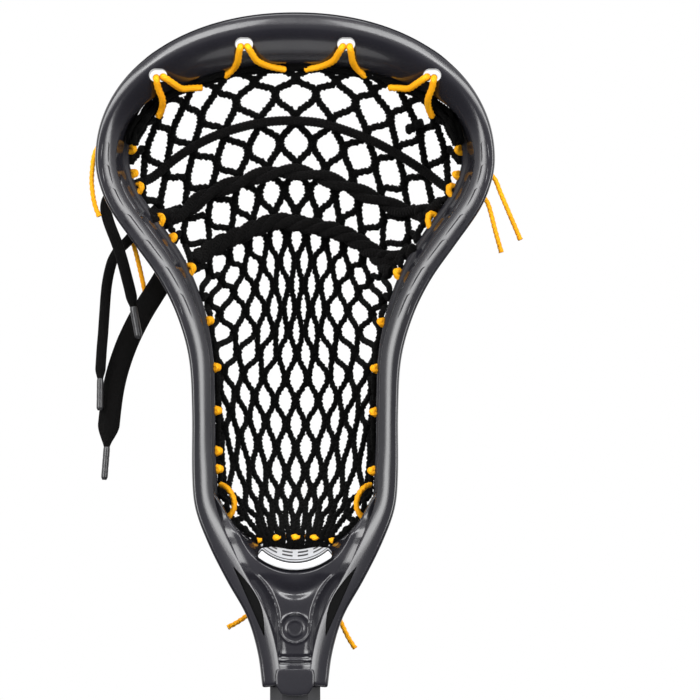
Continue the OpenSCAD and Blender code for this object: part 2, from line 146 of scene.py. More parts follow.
class Station:
    """A cut across the rim: outer point, unit vector inwards, width, and the shares of scoop and throat."""

    def __init__(self, x, z, inward, width, scoop=0.0, throat=0.0):
        length = math.hypot(*inward)
        self.x, self.z, self.width, self.scoop, self.throat = x, z, width, scoop, throat
        self.nx, self.nz = inward[0] / length, inward[1] / length

    def place(self, u, y):
        return [self.x + self.nx * u, y, self.z + self.nz * u]

    def mirrored(self):
        return Station(-self.x, self.z, (-self.nx, self.nz), self.width, self.scoop, self.throat)


def side_station(z):
    x = outline(z)
    run = outline(z + 0.5) - outline(z - 0.5) if z > 0.5 else 0.1
    if z >= BOWL_Z:
        width = band(z)
    else:
        width = mix(RAIL_FOOT_W, band(BOWL_Z), ease((z - THROAT_WIDENS_Z) / (BOWL_Z - THROAT_WIDENS_Z)))
    low, high = THROAT_ENDS_Z
    return Station(x, z, (-1, run), width, throat=1 - ease((z - low) / (high - low)))


def scoop_station(angle):
    c, s = math.cos(math.radians(angle)), math.sin(math.radians(angle))
    across, up = math.copysign(abs(c) ** (2 / SCOOP_POWER), c), s ** (2 / SCOOP_POWER)
    inward = (-math.copysign(abs(across) ** (SCOOP_POWER - 1), c) / HEAD_HALF_W,
              -(up ** (SCOOP_POWER - 1)) / SCOOP_RISE)
    width = SIDE_BAND + (SCOOP_BAND - SIDE_BAND) * s * s
    share = ease(min(angle, 180 - angle) / 50)
    return Station(HEAD_HALF_W * across, WIDEST_Z + SCOOP_RISE * up, inward, width, scoop=share)


def scoop_angle(z):
    """Angle of the right-hand scoop station whose outer point is at a height."""
    return math.degrees(math.asin(((z - WIDEST_Z) / SCOOP_RISE) ** (SCOOP_POWER / 2)))


def station_at(z, side=1):
    s = side_station(z) if z < WIDEST_Z else scoop_station(scoop_angle(z))
    return s if side > 0 else s.mirrored()


WINDOW_STEPS = 5
SCOOP_STEP = 2


def half_rim():
    """Stations of the right half, and for each window the first and last station beside it."""
    heights = [0, 0.9, *np.arange(3, BOWL_Z, 3.0)]
    spans = []
    for z, length in WINDOWS:
        spans.append((len(heights), len(heights) + WINDOW_STEPS))
        heights += [*np.linspace(z - length / 2, z + length / 2, WINDOW_STEPS + 1)]
    heights += [241.5, 245]
    stations = [side_station(z) for z in heights]
    stations += [scoop_station(a) for a in range(0, 90, SCOOP_STEP)]
    return stations, spans


# --- meshes from grids
def grid_quads(rows, columns, wrap=False, start=0):
    """Quads of a grid of points, row by row; wrap joins each row's last point to its first."""
    i, j = np.meshgrid(np.arange(rows - 1), np.arange(columns if wrap else columns - 1), indexing="ij")
    beside = (j + 1) % columns
    corners = [i * columns + j, i * columns + beside, (i + 1) * columns + beside, (i + 1) * columns + j]
    return (np.stack(corners, axis=-1).reshape(-1, 4) + start).tolist()


def tube_faces(rows, columns, start=0):
    """Faces of a closed tube of rings: its sides, then its two ends."""
    last = start + (rows - 1) * columns
    ends = [list(range(start + columns - 1, start - 1, -1)), list(range(last, last + columns))]
    return grid_quads(rows, columns, wrap=True, start=start) + ends


def linked(name, data):
    obj = bpy.data.objects.new(name, data)
    bpy.context.scene.collection.objects.link(obj)
    return obj


def new_object(name, points, faces, uv=None):
    mesh = bpy.data.meshes.new(name)
    mesh.from_pydata(np.asarray(points).tolist(), [], faces)
    if uv is not None:
        layer = mesh.uv_layers.new(name="UVMap")
        loops = np.zeros(len(mesh.loops), int)
        mesh.loops.foreach_get("vertex_index", loops)
        layer.data.foreach_set("uv", np.asarray(uv)[loops].astype(np.float32).ravel())
    mesh.polygons.foreach_set("use_smooth", [True] * len(mesh.polygons))
    mesh.validate()
    shape = bmesh.new()
    shape.from_mesh(mesh)
    bmesh.ops.recalc_face_normals(shape, faces=shape.faces)
    shape.to_mesh(mesh)
    shape.free()
    mesh.update()
    return linked(name, mesh)


def lofted(name, rings, base=THROAT_Z):
    """Closed piece through rings that all have the same number of points, in millimetres above base."""
    rings = np.asarray(rings, float)
    return new_object(name, metres(rings.reshape(-1, 3), base), tube_faces(*rings.shape[:2]))


def shaped(obj, modifier_type, **settings):
    """The object with one modifier added and applied."""
    modifier = obj.modifiers.new("shape", modifier_type)
    for key, value in settings.items():
        setattr(modifier, key, value)
    graph = bpy.context.evaluated_depsgraph_get()
    graph.update()
    mesh = bpy.data.meshes.new_from_object(obj.evaluated_get(graph))
    obj.modifiers.clear()
    obj.data = mesh
    return obj


def subdivided(obj):
    return shaped(obj, "SUBSURF", levels=1, render_levels=1)


def combine(obj, tool, operation):
    """Adds the tool's volume to an object or cuts it away, and removes the tool."""
    shaped(obj, "BOOLEAN", operation=operation, solver="EXACT", object=tool)
    bpy.data.objects.remove(tool)


def joined(name, parts):
    """One object from several."""
    points, faces = [], []
    for part in parts:
        base = len(points)
        points += [tuple(v.co) for v in part.data.vertices]
        faces += [[base + i for i in p.vertices] for p in part.data.polygons]
        bpy.data.objects.remove(part)
    return new_object(name, points, faces)


# --- the rim
FRONT_Q = np.array([0, 0.02, 0.06, 0.12, 0.2, 0.3, 0.42, 0.54, 0.66, 0.78, 0.9, 1.0])
WEB_POINTS = 6
WEB_IN = 16
WEB_OUT = 38
RAIL_W = 9.8
RAIL_MARGIN = 1.5


def rail_face(q, depth, edge=2.4, edge_w=0.03, fall=3.4, flat=0.28):
    """Depth of a front face at share q of its width: round outer edge, flat stretch, then a fall inwards."""
    return depth + edge * math.exp(-q / edge_w) + fall * (max(q - flat, 0) / (1 - flat)) ** 1.7


def wall_profile(w, f, b):
    """Side section as (u, y) pairs: front rail, slanted web and back rail, round from the outer edge."""
    rail = min(w - RAIL_MARGIN, RAIL_W)
    front = [(rail * q, rail_face(q, f)) for q in FRONT_Q]
    under = [(rail + 0.1, f + 4.3), (rail - 0.3, f + 5.4), (mix(rail, 6.6, 0.5), f + 6.2), (6.8, f + 6.8)]
    depths = [f + 7.5, *np.linspace(f + 12.5, b - 14, WEB_POINTS - 2), b - 9]
    share = [(y - f - 7) / (b - 8.5 - f - 7) for y in depths]
    web_in = [(mix(6.6, w - 3.4, s), y) for s, y in zip(share, depths)]
    back = [(w - 2.2, b - 8.2), (w - 0.7, b - 7.2), (w - 0.2, b - 6), (w - 0.2, b - 3.6), (w - 0.3, b - 1.6),
            (w - 0.9, b - 0.5), (w - 2, b), (w - 4.5, b + 0.1), (w - 7, b), (w - 8.2, b - 0.5),
            (w - 8.8, b - 1.6), (w - 8.9, b - 3.6), (w - 8.8, b - 5.5), (w - 8.5, b - 6.8),
            (w - 7.9, b - 7.8), (w - 7.3, b - 8.4)]
    web_out = [(mix(3, w - 7, s), y) for s, y in zip(share, depths)][::-1]
    outer = [(2.3, f + 6.6), (1.1, f + 5.9), (0.35, f + 4.9), (0.05, f + 3.8)]
    return np.array(front + under + web_in + back + web_out + outer)


SCOOP_FRONT = [-6.9, -7.8, -8.4, -9.0, -9.6, -10.3, -9.4, -7.6, -5.2, -2.5, 0.7, 4.2]


def scoop_profile(w):
    """Scoop section: a ramp that leans back towards its inner edge, with a bevel along that edge."""
    front = list(zip(w * FRONT_Q, SCOOP_FRONT))
    lip = [(w + 0.1, 6.2), (w + 0.2, 7.6), (w + 0.2, 9), (w + 0.1, 10.2)]
    inner = [(w, 11), (w - 0.2, 11.9), (w - 0.6, 12.7), (w - 1.4, 13.3), (w - 2.4, 13.4), (w - 3.4, 13.1)]
    under = [(mix(w - 4.3, w - 19.5, t), mix(12.6, -1, t)) for t in np.linspace(0, 1, 16)]
    foot = [(mix(w - 20.5, 1.8, t), mix(-2, -4.6, t)) for t in np.linspace(0, 1, WEB_POINTS)]
    outer = [(1.1, -5.4), (0.6, -6.3), (0.25, -7.3), (0.05, -8.4)]
    return np.array(front + lip + inner + under + foot + outer)


def throat_profile(w, f, b):
    """Section of the throat's side rail: a solid bar, crowned in front and behind."""
    front = [(w * q, rail_face(q, f, 2.6, 0.045, 1.6, 0.3)) for q in FRONT_Q]
    inner = [(w, mix(f + 3, f + 6, t)) for t in np.linspace(0, 1, 4)]
    inner += [(w, mix(f + 7, b - 7, t)) for t in np.linspace(0, 1, WEB_POINTS)]
    crown = [(w * math.cos(a) / 2 + w / 2, b - 2.4 + 2.4 * math.sin(a)) for a in np.linspace(0, math.pi, 14)]
    back = [(w, b - 5.5)] + crown + [(0.1, b - 5.5)]
    outer_web = [(0.15, mix(b - 7, f + 7, t)) for t in np.linspace(0, 1, WEB_POINTS)]
    outer = [(0.1, f + 6), (0.05, f + 5), (0.02, f + 4), (0, f + 3)]
    return np.array(front + inner + back + outer_web + outer)


def rim_ring(station):
    f, b = front_y(station.z), back_y(station.z)
    profile = wall_profile(station.width, f, b)
    if station.throat > 0:
        profile = mix(profile, throat_profile(station.width, f, b), station.throat)
    if station.scoop > 0:
        profile = mix(profile, scoop_profile(station.width), station.scoop)
    return [station.place(u, y) for u, y in profile]


def rim():
    right, spans = half_rim()
    stations = right + [scoop_station(90)] + [s.mirrored() for s in reversed(right)]
    rings = np.array([rim_ring(s) for s in stations])
    for end, beside in ((0, 1), (-1, -2)):
        middle = rings[end].mean(axis=0)
        rings[end][:, :2] = mix(rings[beside], middle, 0.1)[:, :2]
    rows, columns = rings.shape[:2]
    spans = spans + [(rows - 1 - last, rows - 1 - first) for first, last in spans]
    open_in = range(WEB_IN + 1, WEB_IN + WEB_POINTS - 2)
    open_out = range(WEB_OUT + 1, WEB_OUT + WEB_POINTS - 2)
    holes = {(i, j) for first, last in spans for i in range(first, last) for j in [*open_in, *open_out]}
    *quads, foot, top = tube_faces(rows, columns)
    faces = [q for k, q in enumerate(quads) if divmod(k, columns) not in holes]

    def opposite(i, j):
        return i * columns + WEB_OUT + WEB_POINTS - 1 - (j - WEB_IN)

    low, high = WEB_IN + 1, WEB_IN + WEB_POINTS - 2
    for first, last in spans:
        border = [(i, low) for i in range(first, last)] + [(last, j) for j in range(low, high)]
        border += [(i, high) for i in range(last, first, -1)] + [(first, j) for j in range(high, low, -1)]
        for (i, j), (k, m) in zip(border, border[1:] + border[:1]):
            faces.append([i * columns + j, opposite(i, j), opposite(k, m), k * columns + m])
    return subdivided(new_object("rim", metres(rings.reshape(-1, 3)), faces + [foot, top]))


# --- the throat's body between the two side rails
CORE_ACROSS = 141
CORE_UP = 170
SEAT_ROWS = 12
BACK_ROWS = 44
SEAT_R = 27
SEAT_DROP = 18
SEAT_TILT = math.radians(16)
SEAT_SLOPE = math.tan(SEAT_TILT)
SEAT_FRONT_Y = -14
CORE_SWEEP = 85
CORE_TOP_Z = 96
CORE_INSET = 5
ridge_x = Curve([[12, 7.4], [26, 7.5], [31.5, 7.7], [38.3, 8.8], [45.2, 11.8], [53.5, 17.6]])
slot_outer = Curve([[22, 13.2], [24.4, 14.5], [57.1, 29.0], [60, 30.4]])
slot_width = Curve([[24, 0.1], [26, 0.9], [30, 2.6], [36, 4.5], [42, 5.1], [48, 4.0], [53, 2.2], [57.4, 0.1]])
LEAF_SLOT_Z = (24.6, 57.0)
MEDAL_Z = 28.2
MEDAL_R = 6.9


def inward_normal(z):
    run = outline(z + 0.5) - outline(z - 0.5)
    length = np.hypot(1, run)
    return -1 / length, run / length


def core_side(z):
    """Point (x, z) of the core's side border, inside the rail."""
    nx, nz = inward_normal(z)
    return outline(z) + CORE_INSET * nx, z + CORE_INSET * nz


def lip_radius(angle, y):
    """Radius of the opening's edge round the bowl's centre at depth y: the bowl or the ball stop's trough."""
    s = np.sin(np.radians(angle))
    drop = SEAT_DROP - SEAT_SLOPE * (y - SEAT_FRONT_Y)
    trough = -drop * s + np.sqrt(np.maximum(drop * drop * s * s + SEAT_R**2 - drop * drop, 0)) + 0.3
    return (BOWL_R + trough + np.sqrt((BOWL_R - trough) ** 2 + 1)) / 2


def core_edge(s, y):
    """Point (x, z) of the core's top border for s from -1 to 1 across it, at depth y."""
    angle = CORE_SWEEP * np.abs(s) - 90
    r = lip_radius(angle, y)
    x, z = r * np.cos(np.radians(angle)), BOWL_Z + r * np.sin(np.radians(angle))
    side_x, side_z = core_side(CORE_TOP_Z)
    hide = ease((np.abs(s) - 0.75) / 0.25)
    return np.sign(s) * mix(x, side_x, hide), mix(z, side_z, hide)


def core_patch(s, t, y):
    """Grid of (x, z) between the bottom end, the two rails and the top border at depth y."""
    side_x, side_z = core_side(CORE_TOP_Z * t[:, None])
    top_x, top_z = core_edge(s, y)
    x = side_x * s + t[:, None] * (top_x - side_x[-1] * s)
    z = side_z + t[:, None] * (top_z - side_z[-1])
    return x, z


def from_outline(x, z):
    """Distance from the head's outline, measured inwards."""
    return (outline(z) - np.abs(x)) * -inward_normal(z)[0]


def front_relief(x, z):
    """Depth of the throat's moulded front: cup below the ball stop, ridges, panel, medallion and collar."""
    ax = np.abs(x)
    y = front_y(z) + mix(1.9, 0.2, ease((from_outline(x, z) - 7) / 7))
    y = y + 1.3 * ease((z - 58) / 10) + 5 * ease((z - 71) / 12)
    above_valley = z - (44.9 + 4.7 * (ax / 12) ** 2)
    valley = np.where(above_valley > 0, bump(above_valley, 3.4), bump(above_valley, 2.8))
    y = y + 1.9 * np.maximum(1 - (ax / 14) ** 2, 0) * valley
    edge = ridge_x(np.clip(z, 12, 53.5))
    tall = between(z, 13, 54.5, 5, 4)
    side = ax - edge
    y = y - 0.75 * tall * bump(side, 1.0) + 1.0 * tall * between(side, 0, 9, 3.5, 3)
    panel = ease(-side / 1.2) * tall
    y = y + panel * (0.25 + 0.9 * (ax / np.maximum(edge, 1)) ** 4)
    outer = slot_outer(np.clip(z, 22, 60))
    width = slot_width(np.clip(z, 24, 57.4))
    lips = bump(ax - outer - 0.5, 0.75) + bump(ax - outer + width + 0.5, 0.75)
    y = y - 0.5 * between(z, 23, 59.5, 3, 3) * lips
    ring = np.hypot(x, z - MEDAL_Z)
    y = y + 0.35 * ease((MEDAL_R - ring) / 0.6)
    y = y - 0.5 * bump(ring - MEDAL_R, 0.65) - 0.3 * bump(ring - 3.6, 0.6)
    y = y + 0.7 * bump(z - 14.7, 0.9) * ease((10.5 - ax) / 1.5)
    shoulder = between(z, 5.6, 12, 1.4, 1.2) * ease(8.6 + 0.72 * (11.5 - z) - ax)
    collar = 0.9 * ease((13.2 - z) / 1.4) - 0.75 * shoulder
    return y + collar + 0.35 * bump(z - 6.8, 0.6) * ease((ax - 9.5) / 1.5)


def back_relief(x, z):
    """Depth of the throat's back: a boss round the screw and an oval recess above it."""
    inset = mix(2.6, 0.6, ease((from_outline(x, z) - 4) / 5))
    boss = 0.9 * ease((7.6 - np.hypot(x, z - SCREW_Z)) / 1.2)
    recess = 1.4 * ease((1 - np.hypot(x / 9.5, (z - 49) / 9)) / 0.25)
    return back_y(z) - inset + boss - recess


def core():
    s = np.linspace(-1, 1, CORE_ACROSS)
    t = np.concatenate([np.linspace(0, 0.965, CORE_UP - 10), np.linspace(0.97, 1, 10)])
    x, z = core_patch(s, t, SEAT_FRONT_Y)
    to_lip = (1 - t)[:, None] * np.hypot(x[-1] - x[0], z[-1] - z[0])[None, :]
    y = front_relief(x, z) + 1.4 * np.exp(-to_lip / 0.6) + 1.0 * np.exp(-z / 0.7)
    back_x, back_z = core_patch(s, t[:: len(t) // BACK_ROWS], 30)
    back = back_relief(back_x, back_z)
    seat = []
    for share in np.linspace(0, 1, SEAT_ROWS + 2)[1:-1]:
        depth = mix(y[-1], back[-1] - 1.2, share)
        edge_x, edge_z = core_edge(s, depth)
        seat.append(np.stack([edge_x, depth, edge_z], axis=-1))
    back[-1] -= 0.9
    layers = [np.stack([x, y, z], axis=-1), np.array(seat), np.stack([back_x, back, back_z], axis=-1)[::-1]]
    return lofted("core", np.concatenate(layers).transpose(1, 0, 2))


TAB = [(9.1, 6.8), (8.3, 9.2), (-8.3, 9.2), (-9.1, 6.8), (-9.0, 1.5), (-6.4, -2.7), (-2.4, -3.6), (2.4, -3.6),
       (6.4, -2.7), (9.0, 1.5)]
TAB_MIDDLE = (0, 4.0)
# Scale about the middle and depth of each layer of the tab, from its root to its face
TAB_LAYERS = [(0.98, -11.1), (1.0, -12.2), (1.0, -13.1), (0.985, -13.5), (0.93, -13.75), (0.7, -13.85),
              (0.3, -13.9)]


def tab():
    """The raised tongue on the collar that reaches down over the shaft."""
    corners = np.array(TAB, float)
    fine = np.concatenate([np.linspace(a, b, 4)[:-1] for a, b in zip(corners, np.roll(corners, -1, axis=0))])
    rings = [[(x, y, z) for x, z in mix(np.array(TAB_MIDDLE), fine, scale)] for scale, y in TAB_LAYERS]
    return subdivided(lofted("tab", rings))


TOOTH_TIPS = [257.5, 245.5, 233, 219.5, 207.5, 195, 183]
TOOTH_LENGTH = 11.5
TOOTH_HALF_W = 1.9
TOOTH_U = 4.7
TOOTH_HEIGHT = 0.5
TOOTH_ROWS, TOOTH_COLUMNS = 22, 11


def tooth(tip, side):
    """A scale-like tongue moulded on the front rail: a round tip that fades into the rail below it."""
    top, under = [], []
    for along in np.linspace(0, 1, TOOTH_ROWS) ** 1.6 * TOOTH_LENGTH:
        half = TOOTH_HALF_W * math.sqrt(max(1 - max(1 - along / TOOTH_HALF_W, 0) ** 2, 0.0004))
        station = station_at(tip - along)
        z = min(tip - along, WIDEST_Z)
        for across in np.linspace(-1, 1, TOOTH_COLUMNS):
            u = TOOTH_U + half * across
            rise = TOOTH_HEIGHT * (1 - along / TOOTH_LENGTH) * ease((1 - abs(across)) / 0.22)
            face = rail_face(u / min(band(z) - RAIL_MARGIN, RAIL_W), front_y(z))
            x, y, height = station.place(u, face + 0.12)
            top.append([side * x, y - rise - 0.1, height])
            under.append([side * x, y + 0.8, height])
    rows, columns = TOOTH_ROWS, TOOTH_COLUMNS
    count = rows * columns
    faces = grid_quads(rows, columns) + [q[::-1] for q in grid_quads(rows, columns, start=count)]
    border = list(range(columns)) + [i * columns + columns - 1 for i in range(1, rows)]
    border += [(rows - 1) * columns + j for j in range(columns - 2, -1, -1)]
    border += [i * columns for i in range(rows - 2, 0, -1)]
    faces += [[a, b, b + count, a + count][::-1] for a, b in zip(border, border[1:] + border[:1])]
    return new_object("tooth", metres(top + under), faces)


# --- cutters
def rod_cutter(start, end, r, stretch=0.0, sides=24):
    """Round rod between two points, widened along x by stretch on each side."""
    start, end = np.array(start, float), np.array(end, float)
    along = (end - start) / np.linalg.norm(end - start)
    a = np.cross(along, [0.0, 0.0, 1.0] if abs(along[2]) < 0.9 else [0.0, 1.0, 0.0])
    a /= np.linalg.norm(a)
    b = np.cross(along, a)
    angles = 2 * math.pi * np.arange(sides) / sides
    ring = r * (np.outer(np.cos(angles), a) + np.outer(np.sin(angles), b))
    ring[:, 0] += np.where(ring[:, 0] > 0, stretch, -stretch)
    return lofted("cutter", [start + ring, end + ring])


def octagon(grow):
    x, y = 11.8 + grow, 10.8 + grow
    fx, fy = 6.1 + 0.41 * grow, 5.2 + 0.41 * grow
    return [(x, -fy), (x, fy), (fx, y), (-fx, y), (-x, fy), (-x, -fy), (-fx, -y), (fx, -y)]


def slot_cutter(side):
    heights = np.linspace(*LEAF_SLOT_Z, 16)
    loop = [(slot_outer(z), z) for z in heights]
    loop += [(slot_outer(z) - slot_width(z), z) for z in heights[::-1]]
    return lofted("cutter", [[(side * x, y, z) for x, z in loop] for y in (-20, 8)])


def head_cutters():
    tools = [rod_cutter((0, 5, SCREW_Z), (0, 30, SCREW_Z), 2.5)]
    tools.append(lofted("cutter", [[(x, y, z) for x, y in octagon(0.15)] for z in (-2, SOCKET_DEPTH)]))
    tools.append(rod_cutter((0, 12.6, SCREW_Z), (0, 30, SCREW_Z), 4.4, sides=40))
    for side in (-1, 1):
        tools.append(slot_cutter(side))
        for z in STRING_HOLES:
            s = station_at(z, side)
            y = back_y(z) - 4
            tools.append(rod_cutter(s.place(s.width - 13, y), s.place(s.width + 4, y), 1.6))
        for x, z in SCOOP_HOLES:
            tools.append(rod_cutter((side * x, -30, z), (side * x, 30, z), 3, stretch=1.2, sides=40))
    return tools


def moulded_head():
    """The whole head in one closed piece."""
    body = rim()
    for part in (core(), tab()):
        combine(body, part, "UNION")
    screw_hole, *others = head_cutters()
    for tool in (joined("cutters", others), screw_hole):
        combine(body, tool, "DIFFERENCE")
    teeth = [tooth(tip, side) for tip in TOOTH_TIPS for side in (-1, 1)]
    head = joined("head_frame_moulding", [body] + teeth)
    head.data.set_sharp_from_angle(angle=math.radians(52))
    return head


# --- tubes: strings, laces and mesh strands
def steady_frames(path, ref):
    """Side and up vectors along a path; up leans towards ref, or else they turn as little as possible."""
    along = np.gradient(path, axis=0)
    along /= np.linalg.norm(along, axis=1)[:, None]
    if ref is not None:
        side = np.cross(along, np.asarray(ref, float))
        side /= np.linalg.norm(side, axis=1)[:, None]
        return side, np.cross(side, along)
    side = np.empty_like(path)
    start = np.cross(along[0], [0, 1, 0.1])
    side[0] = start / np.linalg.norm(start)
    for i in range(1, len(path)):
        turned = side[i - 1] - along[i] * side[i - 1].dot(along[i])
        side[i] = turned / np.linalg.norm(turned)
    return side, np.cross(side, along)


class Tubes:
    """Collects closed tubes and makes one object of them. Sizes are millimetres."""

    def __init__(self):
        self.points, self.faces, self.uv, self.count = [], [], [], 0

    def add(self, path, wide, thick=None, sides=8, ref=None, relief=None):
        path = np.asarray(path, float)
        n = len(path)
        wide = np.broadcast_to(np.asarray(wide, float), n)
        thick = wide if thick is None else np.broadcast_to(np.asarray(thick, float), n)
        side, up = steady_frames(path, ref)
        run = run_along(path)[:, None]
        angle = 2 * math.pi * np.arange(sides)[None, :] / sides
        grow = 1 if relief is None else relief(run, angle)
        across, rise = wide[:, None] / 2 * np.cos(angle) * grow, thick[:, None] / 2 * np.sin(angle) * grow
        rings = path[:, None, :] + side[:, None, :] * across[:, :, None] + up[:, None, :] * rise[:, :, None]
        self.points.append(rings.reshape(-1, 3))
        around, along = np.broadcast_arrays(angle / (2 * math.pi), run / 10)
        self.uv.append(np.stack([around, along], axis=-1).reshape(-1, 2))
        self.faces += [face[::-1] for face in tube_faces(n, sides, self.count)]
        self.count += n * sides

    def build(self, name):
        return new_object(name, metres(np.concatenate(self.points)), self.faces, uv=np.concatenate(self.uv))


def one_tube(name, path, wide, thick=None, **looks):
    tubes = Tubes()
    tubes.add(path, wide, thick, **looks)
    return tubes.build(name)


def braided(pitch, depth, lobes=2):
    """Knobs that wind round a cord, pitch millimetres from one to the next along its side."""
    return lambda run, angle: 1 + depth * np.cos(lobes * angle - 2 * math.pi * run / pitch)


def knobbly(pitch, phase):
    """Uneven knobs of a loosely braided strand."""
    return lambda run, angle: (1 + 0.15 * np.cos(2 * angle - 2 * math.pi * run / pitch)
                               + 0.11 * np.cos(angle + 2 * math.pi * run / (1.55 * pitch) + phase)
                               + 0.07 * np.cos(3 * angle - 2 * math.pi * run / (0.62 * pitch) + 2 * phase))


def plaited(pitch, depth):
    """A plait's bumps: two families of strands that cross."""
    return lambda run, angle: (1 + depth * np.cos(2 * angle - 2 * math.pi * run / pitch)
                               + depth * np.cos(2 * angle + 2 * math.pi * run / pitch + 1.3))


# --- the pocket's surface
POCKET_DEPTH = 44
POCKET_GAP = -0.1
POCKET_LOW, POCKET_HIGH = 71.8, 289.4
BOWL_GRIP = 5
SCOOP_EDGE_Y = 9


def pocket_borders():
    """Where the mesh meets the frame: heights, half widths and depths."""
    rows = []
    for angle in range(-60, 0, 5):
        r = BOWL_R - POCKET_GAP
        outer_z = BOWL_Z + 0.87 * angle
        c, s = math.cos(math.radians(angle)), math.sin(math.radians(angle))
        rows.append((BOWL_Z + r * s, r * c, back_y(outer_z) - BOWL_GRIP))
    stations = [side_station(z) for z in range(BOWL_Z, WIDEST_Z - 3, 4)]
    stations += [scoop_station(a) for a in range(0, 90, 3)]
    for s in stations:
        x, _, z = s.place(s.width + POCKET_GAP, 0)
        rows.append((z, x, mix(back_y(s.z) - BOWL_GRIP, SCOOP_EDGE_Y, s.scoop)))
    return np.array(rows)


borders = pocket_borders()


def border_x(z):
    return np.interp(z, borders[:, 0], borders[:, 1])


def pocket_y(x, z):
    share = np.clip((z - POCKET_LOW) / (POCKET_HIGH - POCKET_LOW), 0, 1)
    sag = POCKET_DEPTH * np.sin(math.pi * share) ** 0.9
    round_off = np.maximum(1 - (x / border_x(z)) ** 2, 0) ** 0.6
    return np.interp(z, borders[:, 0], borders[:, 2]) + sag * round_off


def scoop_edge_z(x):
    """Height of the scoop's inner edge at a place across it."""
    upper = borders[borders[:, 0] > WIDEST_Z]
    return np.interp(-np.abs(x), -upper[:, 1], upper[:, 0])


# --- the knotted mesh
NET_TOP_Z = 280.3
NET_ROW = 11.25
NET_SIDE = 4.5
STRAND_D = 2.75
KNOT_HALF = 2.4
KNOT_OFFSET = 1.0
STRAND_STEP = 0.4
KNOB_PITCH = 2.3
KNOT_WANDER = 0.35
TOP_SWELL = 0.55
FIRST_ROW, LAST_ROW = -2, 21
COLUMNS = 10
STUB_D = 4.5
STUB = [(60, 266.4), (57.8, 265.8), (55.4, 264.4), (53.4, 262.8)]
# By row: the columns' spacing, its growth towards the sides, the row's droop there, and the row's height
net_pitch = Curve([[0, 19], [2, 15.4], [4, 12.1], [6, 9.2], [8, 7.1], [9, 6.7], [10, 7.1], [11, 8.8],
                   [12, 10.4], [14, 9.8], [15, 9.5], [16, 8.9], [17, 7.8], [18, 6.9], [19, 5.7], [20, 4.7],
                   [21, 4.1]])
net_spread = Curve([[0, -1.3], [2, -0.4], [4, -0.1], [6, 0], [8, 0.9], [9, 1.2], [10, 0.9], [11, 0.4],
                    [12, -0.35], [14, -0.6], [16, -0.3], [17, 0], [21, 0]])
net_droop = Curve([[0, 0.0056], [2, 0.0073], [4, 0.0083], [6, 0.0098], [8, 0.0045], [10, 0.0008],
                   [12, -0.0027], [14, -0.0064], [15, -0.0078], [16, -0.005], [17, -0.0006], [18, 0],
                   [21, 0]])
net_height = Curve([[r, NET_TOP_Z - NET_ROW * r] for r in range(17)]
                   + [[17, 92], [18, 85.2], [19, 78.2], [20, 70.8], [21, 62.5]])
# Knots of the outer columns that are drawn to the bowl's edge, by (column, row)
BOWL_KNOTS = {(4.5, 16): (36.2, 108), (5, 17): (36.8, 101), (4, 17): (32.8, 92.5), (4.5, 18): (34.4, 91),
              (5, 19): (33.5, 85.5), (4, 19): (24.5, 80.5), (4.5, 20): (28, 77), (5, 21): (24.5, 72.5),
              (4, 21): (17.8, 68)}


def knot_place(column, row):
    """Place (x, height) of the knot at a column from -5 to 5 and a row, counted down from the scoop."""
    inner = max(row, 0)
    c = abs(column)
    if (c, row) in BOWL_KNOTS:
        x, z = BOWL_KNOTS[c, row]
        return math.copysign(x, column), z
    x = net_pitch(inner) * c + net_spread(inner) * max(c - 1, 0) ** 1.9
    z = net_height(inner) - net_droop(inner) * x * x
    if c > NET_SIDE:
        x = border_x(z)
        z = z if row >= 0 else min(z, scoop_edge_z(x))
    else:
        x = min(x, border_x(z))
    if row < 0:
        x = x * (1 - 0.01 * row)
        z = mix(z, scoop_edge_z(x), min(-row * 0.52, 1))
    return math.copysign(x, column), z


def net_strands():
    """Paths of the zigzag strands, each between two neighbouring columns of knots."""
    rng = random.Random(5)
    wander = {}

    def place(column, row):
        key = (column, row)
        if key not in wander:
            wander[key] = (rng.uniform(-KNOT_WANDER, KNOT_WANDER), rng.uniform(-KNOT_WANDER, KNOT_WANDER))
        x, z = knot_place(column, row)
        loose = 0 if abs(column) > NET_SIDE or row < -1 else 1
        return x + loose * wander[key][0], z + loose * wander[key][1]

    strands = []
    for k in range(2 * COLUMNS):
        even = -NET_SIDE + k // 2
        odd = even + (0.5 if k % 2 else -0.5)
        path = []
        for row in range(FIRST_ROW, LAST_ROW + 1):
            column, other = (even, odd) if row % 2 == 0 else (odd, even)
            x, z = place(column, row)
            above, below = place(column, max(row - 2, FIRST_ROW)), place(column, min(row + 2, LAST_ROW))
            lean = (below[0] - above[0]) / max(above[1] - below[1], 1) * 0.7
            lean = 0 if abs(column) > NET_SIDE else lean
            toward = math.copysign(KNOT_OFFSET, other - column)
            half = KNOT_HALF * (0.55 if row >= 17 or row < 0 else 1)
            share = x / border_x(z)
            for dz in (half, -half):
                px, pz = x + toward - lean * dz, z + dz
                side = border_x(pz)
                path.append((max(-side, min(side, px)), pocket_y(share * side, pz) + 1.8, pz))
        strands.append(stepped_path(path, STRAND_STEP))
    return strands


def net():
    """The mesh, in a left and a right half."""
    halves = []
    strands = net_strands()
    for name, chosen in (("mesh_pocket_left", strands[:COLUMNS]), ("mesh_pocket_right", strands[COLUMNS:])):
        tubes = Tubes()
        for k, path in enumerate(chosen):
            thick = STRAND_D + TOP_SWELL * ease((path[:, 2] - 195) / 40)
            tubes.add(path, thick, relief=knobbly(KNOB_PITCH if k % 2 else -KNOB_PITCH, 1.7 * k))
        if name.endswith("right"):
            stub = [(x, pocket_y(x, z) - 0.8, z) for x, z in STUB]
            tubes.add(smooth_path(stub, 24), STUB_D, sides=10, relief=knobbly(3.4, 0))
        halves.append(tubes.build(name))
    return halves


EDGE_STRANDS = 5
EDGE_D = 2.3


